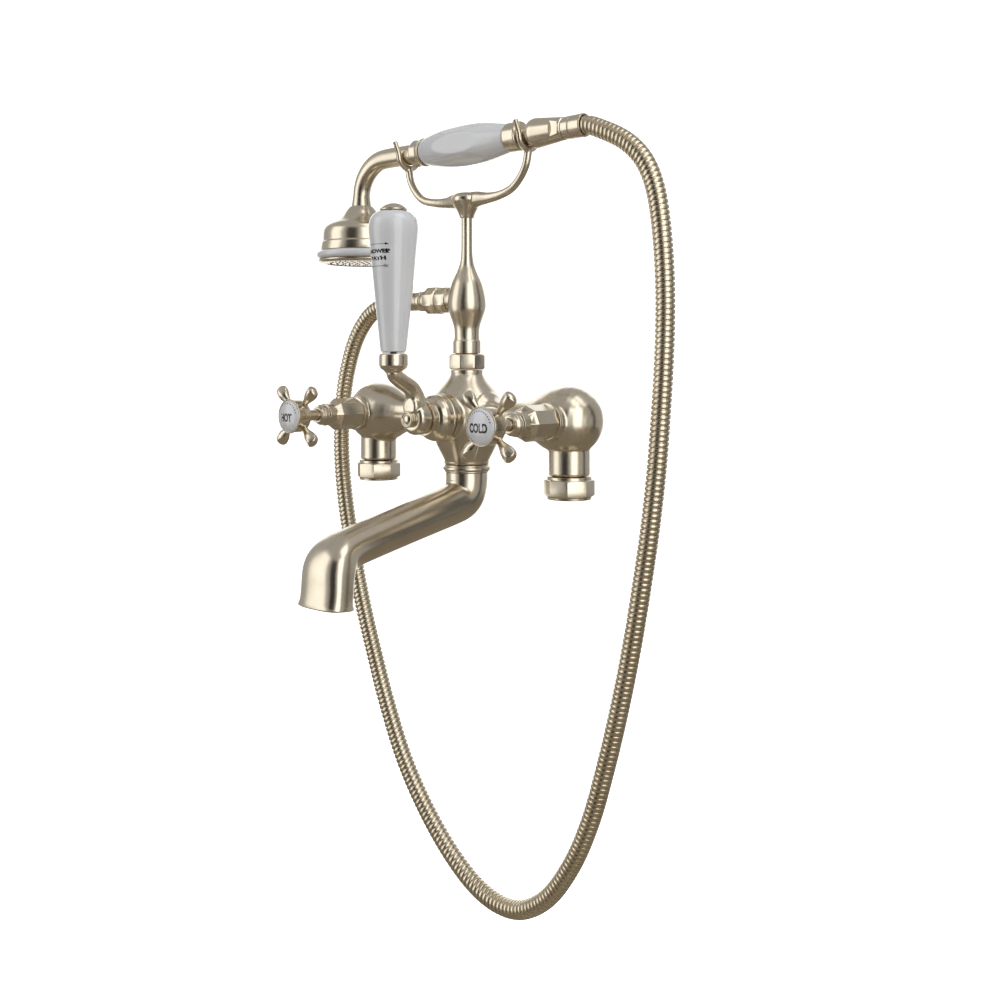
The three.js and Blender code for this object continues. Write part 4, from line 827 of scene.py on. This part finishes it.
spout = lofted("spout_casting", [section(*station) for station in STATIONS])
print("spout faces", len(spout.data.polygons))
finish_with(spout, "SOLIDIFY", thickness=2.4 * MM, offset=-1)
finish_with(spout, "BEVEL", width=0.5 * MM, segments=2, limit_method="ANGLE", angle_limit=radians(50))
finish_with(spout, "SUBSURF", levels=1, render_levels=1)
fitted(shaded(spout, 45), "swivel_spout", NICKEL, ["spout"])
fitted(turned("spout_collar_ring", rounded([
    (10.8, 5.0), (16.9, 5.0), (17.6, 5.4), (17.4, 6.2), (18.5, 6.7), (18.7, 7.9), (18.5, 9.1), (17.4, 9.6),
    (17.6, 10.4), (16.9, 10.9), (10.8, 10.9), (10.8, 5.0)], 0.4), UP), "body", NICKEL, ["spout_collar"])

# %% [markdown]
# ## Riser column and hose outlet
# The column screws into the top of the body under a lock nut. It is a turned baluster: a plain foot,
# a bulb that carries the hose outlet behind it, and a slender stem that holds the cradle.

# %% Column
COLUMN = [(9.9, 108), (9.75, 113), (10.3, 117.5), (12.6, 124.5), (14.6, 130.5), (15.05, 135), (14.2, 142.5),
          (11.5, 152.5), (8.6, 158.8), (6.4, 164), (4.9, 170), (4.4, 176.5), (4.3, 190)]
column = turned("baluster_column", [
    (0, 92), *rounded([(8.6, 92), (8.6, 96.8), (10.9, 96.8), (10.9, 106.2), (9.9, 108)], 0.6),
    *flowing(COLUMN, 2.2), (4.3, 212), (0, 212)])
neck = turned("outlet_neck", rounded([(0, 6), (9.3, 6), (9.3, 16.1), (0, 16.1)], 0.3), LEFT, (0, 0, 139))
column = combined(column, neck, "UNION")
fitted(shaded(column, 35), "body", NICKEL, ["riser_column"])


# %% Nuts with a turned chamfer
def chamfered(name, across, start, end, axis=UP, place=(0, 0, 0), chamfer=1.4, bore=0.0):
    flat_radius = across / 2 * cos(pi / 8)
    bar = milled(name, across, start, end, axis, place, turn=pi / 8)
    shape = turned("turning", [
        (0, start), (flat_radius - 0.9, start), (across / 2 + 0.1, start + chamfer),
        (across / 2 + 0.1, end - chamfer), (flat_radius - 0.9, end), (0, end)], axis, place)
    bar = combined(bar, shape, "INTERSECT")
    if bore:
        hole = turned("hole", [(0, start - 1), (bore, start - 1), (bore, end + 1), (0, end + 1)], axis, place)
        bar = combined(bar, hole, "DIFFERENCE")
    finish_with(bar, "BEVEL", width=0.25 * MM, segments=2, limit_method="ANGLE", angle_limit=radians(35))
    return shaded(bar, 30)


fitted(chamfered("octagon_lock_nut", 29.6, 84.3, 96.4, bore=9.0), "body", NICKEL, ["column_lock_nut"])
outlet = chamfered("octagon_outlet", 21.4, 16.6, 28.1, LEFT, (0, 0, 139))
fitted(outlet, "body", NICKEL, ["outlet_boss"])
fitted(turned("outlet_ring", rounded([(0, 16.3), (10.1, 16.3), (10.1, 18.0), (0, 18.0)], 0.4), LEFT,
              (0, 0, 139)), "body", NICKEL)
fitted(chamfered("octagon_hose_nut", 22.6, 28.5, 40.4, LEFT, (0, 0, 139)), "body", NICKEL, ["hose_nut"])
fitted(turned("hose_sleeve", rounded([
    (0, 38), (8.5, 38), (8.5, 43.6), (7.5, 45.4), (7.3, 46.6), (8, 47.4), (8, 50.4), (7.5, 51), (7.5, 71),
    (8, 71.6), (8, 77.4), (7.2, 77.8), (7.2, 75.2), (0, 75.2)],
    0.3), LEFT, (0, 0, 139)), "body", NICKEL, ["hose_tail_sleeve"])

# %% [markdown]
# ## Cradle
# The cradle is cast in one: a hub like a small trumpet, two arms that leave it thick and thin down as
# they rise, and a fork at the end of each. The bent bars overlap the hub, and a fine voxel remesh
# fuses them with soft fillets.

# %% Cradle
HANDSET_Z = 259
FORK_AT = {-1: 65.5, 1: 63}      # left and right of the column


def fork(side, holds):
    """A U of thin bar across the handset, its tips leaning outwards."""
    bend = holds + 0.6 + 2.3
    half = [(bend * 0.5, -bend * 0.87), (bend * 0.88, -bend * 0.5), (bend + 0.2, 0.4), (bend + 1.6, 3.6),
            (bend + 4.2, 9.2)]
    points = [(-y, z) for y, z in reversed(half)] + [(0, -bend)] + half
    radii = [2.1, 2.2, 2.3, 2.4, 2.5, 2.9, 2.5, 2.4, 2.3, 2.2, 2.1]
    return rod("fork", [(side * FORK_AT[side], y, HANDSET_Z + z) for y, z in points], radii, 1.2, 16)


def cradle_arm(side, holds):
    root, reach = HANDSET_Z - holds - 2.9, FORK_AT[side]
    return rod("cradle_arm", [
        (side * 2, 0, 215.2), (side * 12, 0, 216.2), (side * 22, 0, 216), (side * 34, 0, 217),
        (side * (reach - 17), 0, 220.6), (side * (reach - 8.5), 0, 227.6), (side * (reach - 2.5), 0, 237),
        (side * reach, 0, root + 0.4)], [7.4, 6.0, 4.4, 3.5, 3.2, 3.1, 3.1, 3.2], 1.8, 24)


trumpet = turned("trumpet", [(0, 202), *flowing([
    (5.4, 202), (6, 204), (7.8, 208), (10.8, 212.8), (12.2, 215.8), (11.8, 218.4), (9, 221), (4.4, 222)],
    1.2), (0, 222)])
cradle = joined("cradle_casting", [trumpet, cradle_arm(-1, 8.3), cradle_arm(1, 8.0), fork(-1, 8.3), fork(1, 8.0)])
finish_with(cradle, "REMESH", mode="VOXEL", voxel_size=0.45 * MM)
finish_with(cradle, "SMOOTH", factor=0.5, iterations=6)
fitted(shaded(cradle, 60), "body", NICKEL, ["cradle"])
print("cradle faces", len(cradle.data.polygons))

# %% [markdown]
# ## Handset
# The handset is a bent nickel tube with a bell-shaped head, a porcelain grip between two ferrules,
# and a cone nut where the hose joins. Everything but the tube is turned.

# %% Gooseneck and head
HEAD_X = -123.6
GOOSE_BEND = 30
bend_x, bend_z = HEAD_X + GOOSE_BEND, HANDSET_Z - GOOSE_BEND
corner = [(bend_x - GOOSE_BEND * sin(a), 0, bend_z + GOOSE_BEND * cos(a))
          for a in (0, 0.26, 0.52, 0.79, 1.05, 1.31, pi / 2)]
goose = rod("gooseneck_tube", [(-49.2, 0, HANDSET_Z), (-70, 0, HANDSET_Z), *corner, (HEAD_X, 0, 219)],
            [8.3, 8.3, 8.2, 8.1, 8.0, 7.8, 7.6, 7.4, 7.2, 7.1], 1.5, 48)
fitted(goose, "handset", NICKEL, ["handset_gooseneck"])
BELL_AT = (HEAD_X, 0, 0)
bell = turned("bell_head", [
    *rounded([(5, 218), (7.1, 218), (7.1, 230), (7.5, 230.3), (7.8, 227), (8.5, 222.2)], 0.4),
    *rounded([(9.4, 221.9), (10.4, 221.6)], 0.3),
    *flowing([(11.5, 220.3), (13.6, 217.4), (15.4, 214.4), (18.4, 211.4), (22.6, 209), (27.3, 206.9),
              (30.3, 204.7), (32, 201.6)], 1.4),
    *rounded([(32.5, 198), (32.6, 192), (33.7, 191.2), (34.2, 187), (34.3, 184.2), (31, 184.2), (31, 198),
              (5, 213), (5, 218)], 0.5)], UP, BELL_AT, 96)
fitted(bell, "handset", NICKEL, ["head_bell"])
fitted(shaded(turned("rose_ring", rounded([
    (30, 183.8), (35.6, 183.8), (37.6, 182.3), (38, 180.3), (37.6, 178.3), (35.6, 176.8), (30, 176.8),
    (30, 183.8)], 1.4, 4), UP, BELL_AT, 96), 60), "handset", PORCELAIN, ["porcelain_rose_ring"])
fitted(turned("face_ring", rounded([
    (30.0, 176.5), (36.4, 176.5), (36.2, 175), (34.4, 173.8), (31, 173.3), (30.1, 174.4), (30.0, 176.5)],
    0.6), UP, BELL_AT, 96), "handset", NICKEL, ["face_rim"])

# %% [markdown]
# The spray plate is a shallow dome with rings of holes. Each hole is drawn as a small flat disc in the dark
# rubber
# finish, laid on the face of the plate: painted shade for the dark inside of the hole. Such discs are set round
# five rings; each ring has six more than the one before.

# %% Spray plate
fitted(turned("rose_plate", [(0, 174.9), (29.9, 174.9), *flowing([
    (29.9, 174), (22, 173.4), (12, 172.95), (4, 172.8)], 3), (0, 172.8)], UP, BELL_AT, 96),
    "handset", NICKEL, ["spray_plate"])


def plate_z(radius):
    """Height of the plate's face at that radius."""
    return 172.8 + 1.2 * (radius / 29.9) ** 2


hole_shade_discs, rims = [], []
for row in range(1, 6):
    radius = 5.2 * row
    for i in range(6 * row):
        a = 2 * pi * i / (6 * row)
        spot = Vector((HEAD_X + radius * cos(a), radius * sin(a), plate_z(radius)))
        bpy.ops.object.select_all(action="DESELECT")
        # each flat dark disc is painted shade standing for the dark inside of a nozzle hole
        bpy.ops.mesh.primitive_circle_add(vertices=10, radius=0.8 * MM, fill_type="NGON",
                                          location=(spot - UP * 0.25) * MM)
        bpy.ops.object.transform_apply(location=True, rotation=True, scale=True)
        hole_shade_discs.append(bpy.context.object)
nozzle_shade_discs = joined("nozzle_hole_shades", hole_shade_discs)
tidy(nozzle_shade_discs)
finish_with(nozzle_shade_discs, "SOLIDIFY", thickness=0.3 * MM, offset=0)
# the discs take the dark rubber finish as painted shade for the holes
fitted(nozzle_shade_discs, "handset", RUBBER)
print("nozzle_shade_discs", len(hole_shade_discs))

# %% Ferrules and cone nut
HANDSET_LINE = (0, 0, HANDSET_Z)
fitted(turned("front_ferrule_ring", [
    (6.2, -56.3), *rounded([(8.9, -56.3), (10.2, -55.8), (10.9, -54.4)], 0.5),
    *flowing([(10.9, -54.4), (10.4, -51.6), (10.2, -49), (10.7, -46.8)], 1.0),
    *rounded([(11.3, -46.2), (11.1, -45.3), (9.4, -45.2), (6.2, -45.2)], 0.4), (6.2, -56.3)],
    RIGHT, HANDSET_LINE), "handset", NICKEL, ["front_ferrule"])
fitted(turned("rear_ferrule_ring", rounded([
    (6.2, 45.3), (10.7, 45.3), (11.1, 46), (10.9, 56.4), (9.6, 57.4), (8, 57.8), (8, 65.7), (6.2, 65.7),
    (6.2, 45.3)], 0.5), RIGHT, HANDSET_LINE), "handset", NICKEL, ["rear_ferrule"])
cone = turned("cone_nut", [
    *flowing([(6.2, 66), (8.6, 66.1), (9.8, 67.2), (10.7, 69.2), (11.1, 71.6), (10.9, 74)], 0.7),
    *rounded([(10.9, 74), (8.3, 97.6), (7.5, 98.3), (6.2, 98.3), (6.2, 66)], 0.3)], RIGHT, HANDSET_LINE)
for side in (-1, 1):
    bpy.ops.object.select_all(action="DESELECT")
    bpy.ops.mesh.primitive_cube_add(size=1, location=Vector((92.5, side * 11.3, HANDSET_Z)) * MM)
    spanner_flat = bpy.context.object
    spanner_flat.scale = (7 * MM, 8 * MM, 20 * MM)
    bpy.ops.object.transform_apply(location=True, rotation=True, scale=True)
    cone = combined(cone, spanner_flat, "DIFFERENCE")
shaded(cone, 30)
fitted(cone, "handset", NICKEL, ["hose_cone_nut"])
fitted(turned("hose_ferrule", rounded([
    (5, 98.5), (7.5, 98.5), (8.2, 99.2), (8.3, 105.2), (8, 105.6), (8, 106.2), (8.4, 106.6), (8.5, 115.4),
    (8.2, 116.2), (7.2, 116.2), (7.2, 112.4), (5, 112.2), (5, 98.5)], 0.35), RIGHT, HANDSET_LINE),
    "handset", NICKEL, ["hose_ring_ferrule"])

# %% [markdown]
# ## Porcelain grip
# The grip swells in the middle, and six shallow flats are ground along it before firing. Crossing the
# swelling form with a six-sided bar gives each flat its oval outline, and glaze softens every edge.

# %% Grip
GRIP = [(9.9, -45), (11, -42.4), (12.9, -34), (14.9, -20), (15.9, -6), (16, 4), (15.5, 14), (13.9, 26),
        (12, 37), (10.8, 43.2), (10.5, 45)]
grip = turned("faceted_grip", [(0, -45), *flowing(GRIP, 2), (0, 45)], RIGHT, HANDSET_LINE, 72)
flats = milled("flats", 2 * 14.3 / cos(pi / 6), -50, 50, RIGHT, HANDSET_LINE, 6)
grip = combined(grip, flats, "INTERSECT")
finish_with(grip, "REMESH", mode="VOXEL", voxel_size=0.6 * MM)
finish_with(grip, "SMOOTH", factor=0.5, iterations=14)
fitted(shaded(grip, 60), "handset", PORCELAIN, ["porcelain_grip"])
print("grip faces", len(grip.data.polygons))

# %% [markdown]
# ## Floor and light
# Brushed metal shows its surroundings, so the studio is built for what it reflects. A large soft light stands
# to the right of the camera, with others to its left, above and behind. A dark card between camera and left
# light draws the long dark lines down the tubes. Cards and bounce only show in reflections: what the
# camera sees is a plain white sweep and a plain pale floor.

# %% Things of the studio
def paper(name, tone, glow):
    """Matt paper, with some light of its own where it is lit from elsewhere."""
    material = bpy.data.materials.new(name)
    material.use_nodes = True
    shader = material.node_tree.nodes["Principled BSDF"]
    shader.inputs["Base Color"].default_value = colour(tone)
    shader.inputs["Roughness"].default_value = 0.9
    shader.inputs["Emission Color"].default_value = colour(tone)
    shader.inputs["Emission Strength"].default_value = glow
    return material


def staged(name, material, seen):
    """The new object belongs to the studio. It is seen by the camera alone, or in reflections alone."""
    obj = bpy.context.object
    obj.name = name
    obj.data.materials.append(material)
    obj.visible_camera = seen
    obj.visible_diffuse = obj.visible_glossy = obj.visible_transmission = not seen
    obj.visible_shadow = False
    return obj


FLOOR_Z = -0.62
bpy.ops.object.select_all(action="DESELECT")
bpy.ops.mesh.primitive_plane_add(size=16, location=(0, 0, FLOOR_Z))
staged("studio_floor", paper("pale_floor_paint", "#FFFFFF", 0.97), True)
bpy.ops.mesh.primitive_uv_sphere_add(radius=9, segments=32, ring_count=16)
staged("studio_sweep", paper("white_sweep_paint", "#FFFFFF", 1.0), True)
bpy.ops.mesh.primitive_plane_add(size=5, location=(0, 0, FLOOR_Z - 0.05))
staged("studio_bounce", paper("bounce_cloth", "#8F8677", 0.05), False)

# %% Lights and cards
MIDDLE = Vector((0, 0, 0.02))
CAMERA_TURN = -0.8102            # the camera's azimuth seen from the faucet, in radians


def round_about(turn, distance, height):
    """A place at that many degrees to the right of the camera, and the rotation that faces the faucet."""
    a = CAMERA_TURN + radians(turn)
    place = Vector((distance * cos(a), distance * sin(a), height))
    return place, (MIDDLE - place).to_track_quat("-Z", "Y").to_euler()


def softbox(name, turn, distance, height, wide, tall, brightness):
    """An area light as bright, seen from the front, as that many times plain white."""
    place, rotation = round_about(turn, distance, height)
    bpy.ops.object.light_add(type="AREA", location=place, rotation=rotation)
    light = bpy.context.object
    light.name = name
    light.data.shape = "RECTANGLE"
    light.data.size, light.data.size_y = wide, tall
    light.data.energy = brightness * pi * wide * tall


def card(name, turn, distance, height, wide, tall, tone):
    place, rotation = round_about(turn, distance, height)
    bpy.ops.object.select_all(action="DESELECT")
    bpy.ops.mesh.primitive_plane_add(size=1, location=place, rotation=rotation)
    bpy.context.object.scale = (wide, tall, 1)
    staged(name, paper(name + "_felt", tone, 0.0), False)


softbox("key_softbox", 24, 1.9, 0.5, 1.3, 2.3, 1.55)
softbox("left_softbox", -80, 1.9, 0.4, 1.2, 2.2, 1.15)
softbox("top_softbox", 50, 1.0, 1.9, 1.3, 1.3, 1.5)
softbox("back_softbox", 178, 2.2, 0.2, 3.0, 2.6, 0.95)
card("dark_card_left", -27, 2.1, 0.2, 1.35, 3.0, "#0E0C0A")
card("dark_card_right", 84, 2.2, 0.1, 0.5, 3.0, "#1A1713")

world = bpy.context.scene.world or bpy.data.worlds.new("studio")
bpy.context.scene.world = world
world.use_nodes = True
world.node_tree.nodes["Background"].inputs["Color"].default_value = colour("#FFFFFF")
world.node_tree.nodes["Background"].inputs["Strength"].default_value = 0.42
bpy.context.scene.view_settings.view_transform = "Standard"
